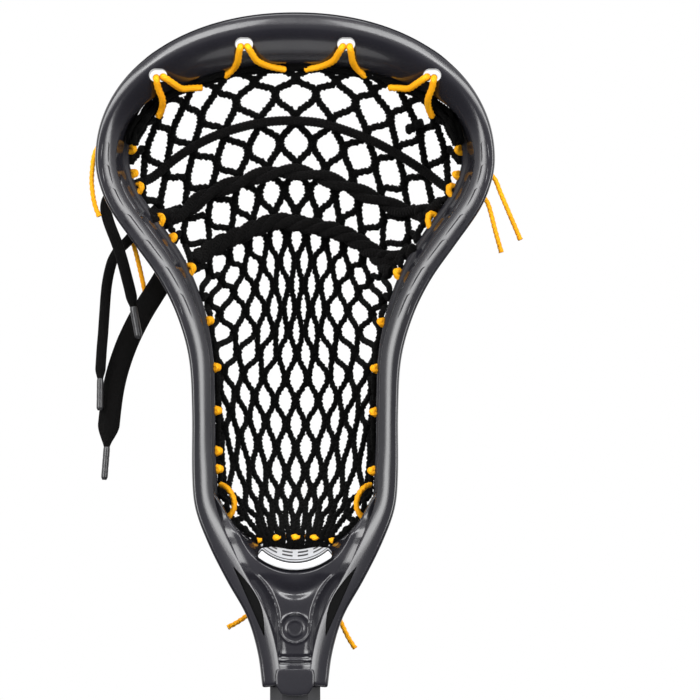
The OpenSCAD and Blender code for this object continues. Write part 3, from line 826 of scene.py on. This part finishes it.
def edge_gather():
    """The mesh's top row drawn together along the scoop's inner edge."""
    rng = random.Random(11)
    tubes = Tubes()
    for k in range(EDGE_STRANDS):
        path = []
        for angle in np.linspace(8, 172, 52):
            s = scoop_station(angle)
            u = s.width - 1.6 + 1.1 * k + rng.uniform(-0.6, 0.6)
            path.append(s.place(u, SCOOP_EDGE_Y + 2.2 * math.sin(1.9 * k) + rng.uniform(-0.7, 0.7)))
        tubes.add(stepped_path(path, 0.5), EDGE_D, relief=braided(1.6, 0.16))
    return tubes.build("mesh_pocket_edge")


# --- shooting laces
upper_lace = [(-75.5, 237.4), (-68, 241), (-57, 250), (-45, 257.5), (-33, 262.5), (-20, 266), (-10, 267.4),
              (0, 267.6), (12, 266.5), (24, 263), (36.5, 258.2), (50, 251), (63, 242.5), (70, 237),
              (76, 233.6)]
middle_lace = [(-69, 221.8), (-63.5, 222.6), (-57.5, 222.6), (-51.5, 225.6), (-45, 231.5), (-36.5, 235.5),
               (-27, 239), (-18, 241.8), (-9.5, 243.6), (0.5, 243.8), (9.5, 242.2), (18, 239.4), (26.5, 236),
               (37, 231.5), (47, 227), (54, 224.4), (61, 224.2), (69, 227)]
lower_lace = [(-49, 201.5), (-45.5, 203.6), (-41, 207.2), (-35, 210.4), (-26.5, 214.2), (-18, 217.8),
              (-9.5, 220.4), (0.5, 219.4), (10.5, 217.6), (21, 215), (29, 211), (36.5, 205.8), (41.8, 200.5),
              (45.2, 195.2)]
lower_lace_end = [(42.5, 203.2), (47.5, 202.6), (52, 204.2), (57, 207)]
# Name, CAD node's ending, route, plies, width of a ply, spread of the plies, pitch of their winding, knots
LACES = [("lace_upper", "upper", upper_lace, 1, 4.4, 0.0, 20, []),
         ("lace_middle", "middle", middle_lace, 2, 4.6, 3.6, 34, [(-62.5, 221.5), (61.5, 223.5)]),
         ("lace_lower", "lower", lower_lace, 3, 4.6, 4.2, 24, [(43.5, 202)]),
         ("lace_lower_end", "lower", lower_lace_end, 2, 4.2, 3, 20, [])]
LACE_PLAIT = plaited(1.7, 0.05)
LACE_STEP = 0.45
LACE_SLACK = 1.3
LACE_FLATNESS = 0.72
TREFOIL_T = np.linspace(0, 2 * math.pi, 90)
TREFOIL = np.column_stack([np.sin(TREFOIL_T) + 2 * np.sin(2 * TREFOIL_T), -1.1 * np.sin(3 * TREFOIL_T),
                           np.cos(TREFOIL_T) - 2 * np.cos(2 * TREFOIL_T)])


def lace(name, route, plies, d, spread, pitch, knots):
    """A lace across the mesh: plies of braid that wind about its middle, and knots at (x, height)."""
    middle = smooth_path([(x, pocket_y(x, z) - (spread + d) / 2 * 0.8, z) for x, z in route],
                         int(path_length(route) * LACE_SLACK / LACE_STEP))
    side, up = steady_frames(middle, (0, 1, 0))
    run = run_along(middle)
    tubes = Tubes()
    for k in range(plies):
        turn = 2 * math.pi * (run / pitch + k / plies)
        winding = side * (np.cos(turn) * spread / 2)[:, None] + up * (np.sin(turn) * spread / 3.2)[:, None]
        tubes.add(middle + winding, d, d * LACE_FLATNESS, sides=12, ref=(0, 1, 0), relief=LACE_PLAIT)
    for x, z in knots:
        at = np.array([x, pocket_y(x, z) - 2.2, z])
        tubes.add(at + 1.25 * TREFOIL, 3.6, sides=12, relief=LACE_PLAIT)
    return tubes.build(name)


# --- the orange strings
TWISTED = {"sides": 12, "relief": braided(2.6, 0.11, lobes=3)}
STRING_D = 2.5
LEG_D = 3.1
WEAVE_D = 2.9
# Height of each tie and how far it leans: half the distance it climbs
LEFT_TIES = [(255.9, 1.2), (238, 0.8), (228.6, 1.9), (210.8, 2.0), (202.4, 1.0), (189.7, 1.7), (168.6, 0.8),
             (149.3, 0.8), (129.6, 0.8), (110.8, 0.9), (101.9, 0.8)]
RIGHT_TIES = [(255.4, 1.2), (237, 0.8), (226.8, 2.2), (210.5, 3.2), (187.8, 1.5), (168, 0.8), (148.8, 0.8),
              (129, 0.8), (101, 0.8)]
TIE_D = 2.9


def tie(z, lean, side):
    """One turn of the sidewall string: out of its hole in the rail, round the mesh's edge and back in."""
    s = station_at(z, side)
    w, b = s.width, back_y(s.z) - BOWL_GRIP
    turn = [(-3.4, 1.2, 1.3), (-1.2, 0.6, 1.3), (0.4, -0.6, 1.0), (1.4, -1.2, 0.45), (1.6, -1.4, -0.1),
            (1.2, -1.2, -0.7), (0, -0.6, -1.1), (-1.4, 0.4, -1.3), (-3.4, 1.0, -1.35)]
    path = np.array([s.place(w + u, b + y) for u, y, _ in turn])
    path[:, 2] += lean * np.array(turn)[:, 2]
    return smooth_path(path, 60)


def outside_run(z_from, z_to, side):
    """The string's run along the outside of the back rail between two ties; its ends dip into their holes."""
    path = []
    for k, z in enumerate(np.linspace(z_from, z_to, 7)):
        s = station_at(z, side)
        u = s.width - 7 if k in (0, 6) else max(s.width - 9.6, 1.7)
        path.append(s.place(u, back_y(z) - BOWL_GRIP + 1.2))
    return smooth_path(path, int(abs(z_from - z_to) / 0.5) + 24)


bowl_loop = [(-35.5, 16, 95), (-33, 12.6, 94), (-30.8, 10.9, 91.8), (-29.4, 10.3, 89), (-28.8, 10.3, 85.8),
             (-29.6, 10.9, 82.5), (-31.6, 12.5, 79.8), (-34, 16, 78.8)]
BOWL_LOOP_D = 2.6


def flipped(route, side):
    """A route of the right-hand side, or its mirror image for side -1."""
    return [(side * x, y, z) for x, y, z in route]


def sidewall_string(name, side):
    tubes = Tubes()
    ties = RIGHT_TIES if side > 0 else LEFT_TIES
    for z, lean in ties:
        tubes.add(tie(z, lean, side), TIE_D, **TWISTED)
    heights = [z for z, _ in ties]
    for z_from, z_to in zip(heights[1:-1:2], heights[2::2]):
        tubes.add(outside_run(z_from, z_to, side), STRING_D, **TWISTED)
    tubes.add(smooth_path(flipped(bowl_loop, -side), 60), BOWL_LOOP_D, **TWISTED)
    return tubes.build(name)


top_legs = [
    [(25.6, 2, 301.2), (25.7, -8.4, 301), (26.4, -6.2, 298), (27, -2, 294.5), (29, 4, 291.5), (33, 8, 288)],
    [(22.5, 2, 301.2), (22.2, -8.4, 301), (20.3, -6.2, 298), (18, -2, 294.8), (12.5, 4.5, 292.6),
     (4.8, 8, 291.2)],
    [(65.2, 2, 286.6), (65.2, -8.4, 286.2), (64.4, -5.8, 282), (62.6, -1, 277), (62.8, 4.5, 273),
     (64.6, 9, 269)],
    [(62.1, 2, 286.9), (61.6, -8.4, 286.9), (57.6, -5.8, 284.2), (53.5, -1, 281.8), (49, 5, 282.2),
     (44.5, 8.5, 282.6)]]


def top_string():
    tubes = Tubes()
    for side in (-1, 1):
        for leg in top_legs:
            tubes.add(smooth_path(flipped(leg, side), 70), LEG_D, **TWISTED)
    return tubes.build("top_string_legs")


bottom_route = [(-18, 11.8, 68.5), (-13, 12, 69.5), (-8, 12.2, 70), (0, 12.2, 70.2), (8, 12.2, 70),
                (13, 12, 69.5), (18, 11.8, 68.5)]
WEAVE_PITCH = 9
WEAVE_DEPTH = 3.0
WEAVE_MIDDLE = 1.9


def bottom_string():
    """The string through the mesh's last row; it shows in front of the mesh between the bundles."""
    path = smooth_path(bottom_route, 150)
    path[:, 1] += WEAVE_MIDDLE - WEAVE_DEPTH * np.cos(2 * math.pi * path[:, 0] / WEAVE_PITCH)
    return one_tube("bottom_string_weave", path, WEAVE_D, **TWISTED)


# --- free ends
long_tail = [
    (-66, 31, 226), (-71, 32, 221), (-76, 32, 215.5), (-80, 31, 210.5), (-84, 30, 206.5), (-87, 29, 201.5),
    (-88.6, 28, 196), (-89.7, 27, 190), (-90.3, 26, 184), (-90.7, 25.5, 178), (-91.1, 25, 172),
    (-91.5, 24.5, 166), (-92, 24, 160), (-92.4, 24, 154), (-92.7, 24, 149), (-92.8, 24, 144.5)]
short_tail = [
    (-79, 29, 238), (-83.5, 29.5, 236.5), (-87, 29, 233.5), (-89.5, 27.5, 230), (-90.2, 25.5, 226),
    (-89.3, 23.5, 221.5), (-87.8, 22, 217), (-86, 21, 212.5), (-84.3, 20.5, 208), (-82.7, 20, 203),
    (-81.3, 19.5, 198), (-80, 19, 193), (-78.7, 18.5, 188), (-77.6, 18.5, 183), (-76.8, 18.5, 178.5)]
wide_tail = [
    (-56.5, 32.5, 204), (-60, 33.2, 198.5), (-63.8, 33.5, 191.5), (-68.2, 33.5, 184.5), (-72.5, 33, 177.5),
    (-76.5, 32.5, 170), (-80, 32, 162.5), (-82.8, 31, 155), (-85.2, 30, 147), (-86.9, 29, 139),
    (-88, 28, 131), (-88.8, 27.5, 123.5), (-89.5, 27, 117), (-89.7, 27, 114.5), (-89.8, 27, 112)]
string_ends = {
    "upper_left": [
        (-84, 25, 256), (-88, 26, 257), (-92, 25.5, 256.5), (-94.5, 24, 254), (-95.8, 22.5, 250),
        (-96.4, 21.5, 245), (-96.7, 20.5, 239), (-96.2, 20, 233), (-95, 19.5, 227), (-93, 19, 222)],
    "lower_left": [
        (-78, 29.4, 227), (-79.5, 32, 222), (-79.5, 35, 216), (-78, 36, 211), (-76.5, 36.5, 206),
        (-75, 36.5, 200), (-73.6, 36.5, 194), (-72.3, 36.5, 188), (-71, 36.5, 182)],
    "upper_right": [
        (84, 26.5, 244), (88, 28, 244), (92, 27.5, 242.5), (94.8, 26, 239.5), (97, 25, 234), (99.5, 24, 228),
        (102, 23, 222), (104.3, 22, 216.5), (106.6, 21, 211)],
    "lower_right": [
        (80, 28.5, 233), (84.5, 30, 233), (88.5, 29.5, 231.8), (91, 28, 229), (92.8, 27, 223.5),
        (94.4, 26, 217), (96, 25.5, 211), (97.7, 25, 205)],
    "throat_left": [
        (-12, 17.4, 50), (-14, 18, 45), (-17, 18, 40), (-20, 17.5, 36), (-23, 16.5, 33), (-26, 15.5, 30.8),
        (-29, 14.8, 29), (-32, 14, 27.5)],
    "throat_right": [
        (12, 17.4, 50), (14, 18, 45), (16.5, 18, 40), (19, 17.5, 35.5), (21, 16.8, 31), (23, 16, 26.5),
        (25.3, 15.3, 22), (28.2, 14.5, 17.5)]}
END_D = 2.2
CORD_POINTS = 60
# Route, width, thickness, the tip's run on from the route's end, and the tip's radius
LACE_TAILS = {"long": (long_tail, 5, 2.4, (-0.2, 0, -14.5), 1.6),
              "short": (short_tail, 5.4, 2.8, (2.6, 0, -14.4), 1.8),
              "wide": (wide_tail, 10.4, 2.4, (-1.2, 0, -15), 1.6)}


def lace_tail(size, route, wide, thick, drop, tip_r):
    """A loose flat lace that narrows into its tip, and the tip, which goes on along drop."""
    path = stepped_path(route, 0.7)
    from_end = path_length(path) * (1 - np.linspace(0, 1, len(path)))
    share = ease(from_end / (1.1 * wide))
    neck = 2 * tip_r * 0.85
    piece = one_tube(f"lace_tail_{size}_cord", path, mix(neck, wide, share ** 0.8), mix(neck, thick, share),
                     sides=20, ref=(0, 1, 0))
    steps = np.linspace(-0.06, 1, 30)
    line = np.array(route[-1]) + steps[:, None] * np.array(drop, float)
    radius = tip_r * (1 - 0.35 * bump(steps - 1, 0.05) - 0.12 * bump(steps + 0.06, 0.05))
    radius = radius * (1 - 0.05 * bump(steps - 0.3, 0.03) - 0.05 * bump(steps - 0.62, 0.03))
    return piece, one_tube(f"aglet_{size}_tip", line, 2 * radius, sides=16, ref=(0, 1, 0))


def string_end(name, route):
    path = stepped_path(route, 0.5)
    return one_tube(name, path, END_D * (1 + 0.12 * bump(np.linspace(0, 1, len(path)) - 1, 0.04)), **TWISTED)


def knots():
    """Overhand knots that the loose ends come out of."""
    tubes = Tubes()
    for route in string_ends.values():
        tubes.add(np.array(route[0]) + 0.62 * TREFOIL, 1.7, sides=10, relief=braided(1.8, 0.1, lobes=3))
    return tubes.build("string_knots_tied")


# --- ball stop, cap
STOP_HALF_ANGLE = 41
STOP_OUTER = 26.6
STOP_T = 3.0
STOP_LEN = 22.5
STOP_START = 0.6
STOP_Z = 55
STOP_ROUND = np.linspace(0.4, math.pi - 0.4, 6)


def ball_stop():
    """The foam strip in the trough: a slab on a cylinder, with rounded edges and its back corners cut off."""
    centre = np.array([0, SEAT_FRONT_Y - SEAT_R * math.sin(SEAT_TILT), STOP_Z + SEAT_R * math.cos(SEAT_TILT)])
    along = np.array([0, math.cos(SEAT_TILT), math.sin(SEAT_TILT)])
    down = np.array([0, math.sin(SEAT_TILT), -math.cos(SEAT_TILT)])
    reach = Curve([[0, STOP_LEN], [6, STOP_LEN], [12, 19], [15, 13], [18, 6]])
    middle_r = STOP_OUTER - STOP_T / 2
    lengths = np.linspace(STOP_START, STOP_LEN, 25)
    loop = [(STOP_OUTER, v) for v in lengths]
    loop += [(middle_r + STOP_T / 2 * math.cos(a), STOP_LEN + 0.5 * math.sin(a)) for a in STOP_ROUND]
    loop += [(STOP_OUTER - STOP_T, v) for v in lengths[::-1]]
    loop += [(middle_r - STOP_T / 2 * math.cos(a), STOP_START - 0.5 * math.sin(a)) for a in STOP_ROUND]
    rings = []
    for angle in np.linspace(-STOP_HALF_ANGLE, STOP_HALF_ANGLE, 61):
        a = math.radians(angle)
        outward = down * math.cos(a) + np.array([1, 0, 0]) * math.sin(a)
        shrink = 0.78 if abs(angle) > STOP_HALF_ANGLE - 0.5 else 1
        stretch = (reach(STOP_OUTER * abs(math.sin(a))) - STOP_START) / (STOP_LEN - STOP_START)
        rings.append([centre + along * (STOP_START + (v - STOP_START) * stretch)
                      + mix(middle_r, r, shrink) * outward for r, v in loop])
    return lofted("ball_stop_foam", rings)


CAP_WALL = 2.4
CAP_FLOOR = 6
CAP_SLEEVE = 32
CAP_RINGS = (9, 15, 21)
CAP_BORE = 0.08


def butt_cap():
    """Rubber cap: an octagonal cup with a rounded foot, three grip rings and a rolled lip."""
    height, wall = CAP_FLOOR + CAP_SLEEVE, CAP_WALL
    section = [(wall - 3.4, 0.0), (wall - 1.6, 0.0), (wall - 0.6, 0.35), (wall - 0.12, 1.1), (wall, 2.2)]
    for z in CAP_RINGS:
        section += [(wall, z - 1.6), (wall - 0.6, z - 1.0), (wall - 0.6, z + 1.0), (wall, z + 1.6)]
    section += [(wall, height - 3), (wall - 0.1, height - 0.9), (wall - 0.7, height - 0.15),
                (wall - 1.3, height), (0.5, height - 0.2), (CAP_BORE, height - 0.9),
                (CAP_BORE, CAP_FLOOR + 0.02)]
    rings = []
    for grow, z in section:
        corners = np.array(octagon(grow))
        sides = zip(corners, np.roll(corners, -1, axis=0))
        rings.append([(*mix(a, b, t), z) for a, b in sides for t in (0.12, 0.37, 0.63, 0.88)])
    return subdivided(lofted("butt_cap_rubber", rings, base=0))


# --- materials
class Field:
    """A node's output, which varies over a surface; arithmetic on it adds nodes."""

    def __init__(self, nodes, socket):
        self.nodes, self.socket = nodes, socket

    def __add__(self, other):
        return self.nodes.math("ADD", self, other)

    def __mul__(self, other):
        return self.nodes.math("MULTIPLY", self, other)

    def __gt__(self, limit):
        return self.nodes.math("GREATER_THAN", self, limit)

    def __lt__(self, limit):
        return self.nodes.math("LESS_THAN", self, limit)


class Nodes:
    """Adds and links shader nodes in the tree of a material or a world."""

    shader_inputs = {
        "color": "Base Color", "rough": "Roughness", "metal": "Metallic", "normal": "Normal",
        "coat": "Coat Weight", "coat_rough": "Coat Roughness", "sheen": "Sheen Weight",
        "sheen_rough": "Sheen Roughness", "specular": "Specular IOR Level"}

    def __init__(self, owner):
        owner.use_nodes = True
        self.owner, self.tree = owner, owner.node_tree

    def add(self, kind, inputs=(), output=0, **settings):
        """A new node with its inputs fed; gives one of its outputs."""
        node = self.tree.nodes.new("ShaderNode" + kind)
        for key, value in settings.items():
            setattr(node, key, value)
        for key, value in dict(inputs).items():
            self.feed(node.inputs[key], value)
        return Field(self, node.outputs[output]) if node.outputs else None

    def feed(self, socket, value):
        if isinstance(value, Field):
            self.tree.links.new(value.socket, socket)
        else:
            socket.default_value = (*value, 1) if socket.type == "RGBA" else value

    def finish(self, **looks):
        """Feeds the material's own shader and gives the material."""
        shader = self.tree.nodes["Principled BSDF"]
        for key, value in looks.items():
            self.feed(shader.inputs[self.shader_inputs[key]], value)
        return self.owner

    def place(self, kind="Object", axis=None):
        """The place on the surface, or one axis of it."""
        place = self.add("TexCoord", output=kind)
        return place if axis is None else self.add("SeparateXYZ", {0: place}, output=axis)

    def noise(self, scale, detail=3, stretch=(1, 1, 1)):
        place = self.add("Mapping", {"Vector": self.place(), "Scale": stretch})
        return self.add("TexNoise", {"Vector": place, "Scale": scale, "Detail": detail}, output="Fac")

    def wave(self, scale, turn, distortion=0.0):
        """Stripes along and round a tube, turned by an angle."""
        place = self.add("Mapping", {"Vector": self.place("UV"), "Rotation": (0, 0, turn)})
        return self.add("TexWave", {"Vector": place, "Scale": scale, "Distortion": distortion}, output="Fac")

    def crossed(self, scale, turn, distortion=0.0):
        """Two families of stripes that cross, as in a braid."""
        return self.wave(scale, turn, distortion) * self.wave(scale, -turn, distortion)

    def math(self, operation, *values):
        return self.add("Math", enumerate(values), operation=operation)

    def range(self, value, low, high, to_low=0.0, to_high=1.0):
        inputs = {"Value": value, "From Min": low, "From Max": high, "To Min": to_low, "To Max": to_high}
        return self.add("MapRange", inputs)

    def blend(self, share, a, b):
        """Mixes two colours."""
        return self.add("Mix", {0: share, 6: a, 7: b}, output=2, data_type="RGBA")

    def tint(self, value, low, high, a, b):
        """Fades from one colour to another while a value runs from low to high."""
        return self.blend(self.range(value, low, high), a, b)

    def bump(self, height, strength, distance):
        return self.add("Bump", {"Height": height, "Strength": strength, "Distance": distance})


def surface(name):
    return Nodes(bpy.data.materials.new(name))


def head_plastic():
    n = surface("head_plastic")
    flow = n.noise(14, detail=4, stretch=(1, 1, 0.35))
    return n.finish(color=n.tint(flow, 0.35, 0.65, (0.011, 0.0108, 0.014), (0.017, 0.0165, 0.021)),
                    rough=n.range(n.noise(60, detail=2), 0.3, 0.7, 0.2, 0.27), coat=0.4, coat_rough=0.08,
                    normal=n.bump(n.noise(900, detail=2), 0.06, 0.0003))


BLACK_DYE = (0.0006, 0.0006, 0.0006)


def mesh_fibre():
    """Braided black fibre: fine yarns that cross, with a slight sheen."""
    n = surface("mesh_cord")
    yarn = n.crossed(9, 0.9) + n.noise(1500)
    return n.finish(color=n.tint(yarn, 0.6, 1.4, BLACK_DYE, (0.008, 0.008, 0.008)), rough=0.75, sheen=0.02,
                    sheen_rough=0.5, specular=0.03, normal=n.bump(yarn, 0.6, 0.0004))


def lace_weave():
    """Flat woven lace: herringbone ribs along its length, lighter on their raised crests as a painted
    highlight, with random fuzz in its tone.
    """
    n = surface("lace_weave")
    ribs = n.crossed(16, 0.7, distortion=0.6)
    fuzz = n.noise(2200)
    # Painted highlight: the raised rib crests are lighter in colour; the fuzz adds random tone.
    return n.finish(color=n.tint(ribs + fuzz, 0.7, 1.5, BLACK_DYE, (0.026, 0.0245, 0.0245)), rough=0.6,
                    sheen=0.015, sheen_rough=0.45, specular=0.04,
                    normal=n.bump(ribs + fuzz * 0.6, 0.6, 0.0005))


def orange_string():
    """Twisted nylon string, with painted shade in the grooves and random tone from noise."""
    n = surface("orange_string")
    groove = n.wave(5, 1.1, distortion=0.4)
    # Painted shade: the orange darkens towards the grooves of the twist, mixed with random tone from noise.
    painted_groove_shade_and_tone = groove * 0.5 + n.noise(70) * 0.6
    return n.finish(color=n.tint(painted_groove_shade_and_tone, 0.3, 0.85, (0.88, 0.31, 0.002), (1.0, 0.5, 0.006)), rough=0.6,
                    specular=0.2, normal=n.bump(groove + n.noise(1800), 0.5, 0.0003))


STOP_PRINT_FROM = -0.0135


def stop_foam():
    """Closed-cell foam: white front edge, dark lines and dashes printed on the grey sloping face."""
    n = surface("stop_foam")
    depth = n.place(axis="Y")
    cell = n.add("TexVoronoi", {"Vector": n.place(), "Scale": 1400}, output="Distance")

    def stripe(low, high):
        return (depth > low) * (depth < high)

    def ripple(value, scale):
        return n.math("ABSOLUTE", n.math("SINE", value * scale))

    dashes = (ripple(n.place(axis="X"), 430) > 0.5) * (ripple(depth, 620) > 0.72) * stripe(-0.0062, 0.02)
    lines = n.math("MAXIMUM", stripe(STOP_PRINT_FROM, -0.0108), stripe(-0.009, -0.0076))
    base = n.blend(stripe(STOP_PRINT_FROM, 0.1), (0.8, 0.81, 0.82), (0.5, 0.51, 0.53))
    return n.finish(color=n.blend(n.math("MAXIMUM", dashes, lines), base, (0.03, 0.03, 0.033)), rough=0.7,
                    normal=n.bump(cell, 0.35, 0.0003))


BARS_LOW, BARS_HIGH = 0.33, 0.63
BAR_PITCH = 0.024
BAR_SHARE = 0.62
BAR_SLANT = 0.9
BAR_HALF_W = 0.0048


def shaft_finish():
    """Satin grey coating; slanted bars in a yellow to red fade on the front flat."""
    n = surface("shaft_finish")
    x, z = n.place(axis="X"), n.place(axis="Z")
    normal = n.add("NewGeometry", output="True Normal")
    facing = n.add("SeparateXYZ", {0: normal}, output="Y")
    slanted = x * BAR_SLANT + z
    bar = n.math("FRACT", n.math("DIVIDE", slanted, BAR_PITCH)) < BAR_SHARE
    inside = (slanted > BARS_LOW) * (slanted < BARS_HIGH) * (n.math("ABSOLUTE", x) < BAR_HALF_W)
    printed = bar * inside * (facing < -0.9)
    fade = n.tint(z, BARS_LOW, BARS_HIGH, (0.82, 0.085, 0.012), (0.98, 0.5, 0.03))
    speck = n.noise(2600, detail=2)
    grey = n.tint(speck, 0.35, 0.65, (0.027, 0.027, 0.029), (0.037, 0.037, 0.04))
    return n.finish(color=n.blend(printed, grey, fade), rough=n.range(n.noise(30), 0.3, 0.7, 0.34, 0.42),
                    metal=0.25, coat=0.2, coat_rough=0.2, normal=n.bump(speck, 0.08, 0.0002))


def screw_steel():
    n = surface("screw_steel")
    brushed = n.noise(400, stretch=(1, 8, 1))
    return n.finish(color=(0.55, 0.55, 0.57), metal=1.0, rough=n.range(brushed, 0.3, 0.7, 0.25, 0.4),
                    normal=n.bump(n.noise(900), 0.1, 0.0002))


def cap_rubber():
    n = surface("cap_rubber")
    return n.finish(color=n.blend(n.noise(50), (0.012, 0.012, 0.012), (0.026, 0.026, 0.026)), rough=0.78,
                    normal=n.bump(n.noise(1200, detail=4), 0.3, 0.0003))


def aglet_plastic():
    n = surface("aglet_plastic")
    return n.finish(color=n.blend(n.wave(12, 0.8), (0.008, 0.008, 0.009), (0.04, 0.04, 0.043)), rough=0.35,
                    coat=0.3, coat_rough=0.12, normal=n.bump(n.noise(500), 0.2, 0.0004))


def floor_paint():
    n = surface("floor_paint")
    return n.finish(color=n.blend(n.noise(3), (0.72, 0.72, 0.72), (0.76, 0.76, 0.76)), rough=0.85)


def finish_piece(obj, finish, *nodes, body="stick"):
    """Gives a piece its material, hides the CAD nodes it stands for and parents it to the body it rides on.
    """
    material, slot = finish
    obj.data.materials.clear()
    obj.data.materials.append(material)
    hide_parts(*nodes)
    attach(obj, body)
    return obj


def paint_node(node, material):
    """A better material on a CAD node that stays."""
    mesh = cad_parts[node].data
    if not mesh.materials:
        mesh.materials.append(material)
    for k in range(len(mesh.materials)):
        mesh.materials[k] = material


# --- camera and light
VIEW_W = 0.3287
VIEW_DISTANCE = 3.0
RIM_FRONT = 0.009
VIEW_X, VIEW_Z = 0.0258, 0.1587
SENSOR = 36


def camera():
    data = bpy.data.cameras.new("camera")
    data.sensor_width = SENSOR
    data.lens = SENSOR * (VIEW_DISTANCE - RIM_FRONT) / VIEW_W
    obj = linked("camera", data)
    obj.location = (VIEW_X, -VIEW_DISTANCE, THROAT_Z + VIEW_Z)
    obj.rotation_euler = (math.pi / 2, 0, 0)
    bpy.context.scene.camera = obj


LIT_PLACE = (0, 0, 0.88)


def softbox(name, location, size, energy):
    """A rectangular light that faces the head."""
    data = bpy.data.lights.new(name, "AREA")
    data.shape = "RECTANGLE"
    data.size, data.size_y = size
    data.energy = energy
    obj = linked(name, data)
    obj.location = location
    away = Vector(LIT_PLACE) - Vector(location)
    obj.rotation_euler = away.to_track_quat("-Z", "Y").to_euler()
    obj.visible_camera = False


def studio():
    """White all round for the camera; reflections see a bright back and a darker front."""
    world = bpy.data.worlds.new("studio")
    bpy.context.scene.world = world
    n = Nodes(world)
    n.tree.nodes.clear()
    sides = n.range(n.place("Generated", "Y"), -0.8, 0.15, 0.3)
    above = n.range(n.place("Generated", "Z"), -0.35, 0.0, 0.03)
    lit = n.add("Background", {"Color": (1, 1, 1), "Strength": sides * above})
    plain = n.add("Background", {"Color": (1, 1, 1)})
    seen = n.add("LightPath", output="Is Camera Ray")
    n.add("OutputWorld", {"Surface": n.add("MixShader", {0: seen, 1: lit, 2: plain})})
    for name, side in (("left", -1), ("right", 1)):
        softbox("softbox_" + name, (side * 1.05, -1.2, 1.25), (0.95, 1.6), 16)
        softbox("strip_" + name, (side * 1.0, -1.1, 1.2), (0.5, 1.5), 10)
        softbox("upper_" + name, (side * 0.47, -1.36, 2.1), (0.66, 0.42), 8)
    softbox("softbox_top", (0, -0.45, 2.5), (0.8, 0.4), 4)
    bpy.context.scene.view_settings.view_transform = "Standard"


FLOOR_Z = -0.05
FLOOR_R = 0.36
FLOOR_CORNERS = 96


def floor():
    angles = np.linspace(0, 2 * math.pi, FLOOR_CORNERS, endpoint=False)
    rim_points = [(FLOOR_R * math.cos(a), FLOOR_R * math.sin(a), FLOOR_Z) for a in angles]
    obj = new_object("floor", rim_points, [list(range(FLOOR_CORNERS))])
    obj.data.materials.append(floor_paint())


# --- assembly
camera()
fibre = (mesh_fibre(), "mesh_cord")
weave = (lace_weave(), "lace_black")
orange = (orange_string(), "string_orange")
aglets = (aglet_plastic(), "aglet_plastic")


def free_ends():
    """The cords: three flat lace tails with tips, and six loose ends of the orange string."""
    for size, (route, wide, *shape) in LACE_TAILS.items():
        piece, tip = lace_tail(size, route, wide, *shape)
        finish_piece(tip, aglets, "aglet_" + size)
        finish_piece(piece, weave, "lace_tail_" + size)
        path = metres(smooth_path(route, CORD_POINTS))
    for place, route in string_ends.items():
        piece = string_end("string_tail_" + place + "_cord", route)
        finish_piece(piece, orange, "string_tail_" + place)
        path = metres(smooth_path(route, CORD_POINTS))


free_ends()
finish_piece(moulded_head(), (head_plastic(), "head_plastic"), "head_frame")
for half in net():
    finish_piece(half, fibre, "mesh_pocket")
finish_piece(edge_gather(), fibre, "mesh_pocket")
for name, node, *shape in LACES:
    finish_piece(lace(name, *shape), weave, "shooting_lace_" + node)
for name, side in (("left", -1), ("right", 1)):
    finish_piece(sidewall_string(f"sidewall_string_{name}_ties", side), orange, "sidewall_string_" + name)
finish_piece(top_string(), orange, "top_string")
finish_piece(bottom_string(), orange, "bottom_string")
finish_piece(knots(), orange, "string_knots")
foam = finish_piece(ball_stop(), (stop_foam(), "stop_foam"), "ball_stop_pad")
finish_piece(butt_cap(), (cap_rubber(), "cap_rubber"), "butt_cap", body="cap")
paint_node("shaft_tube", shaft_finish())
paint_node("head_screw", screw_steel())
floor()
studio()
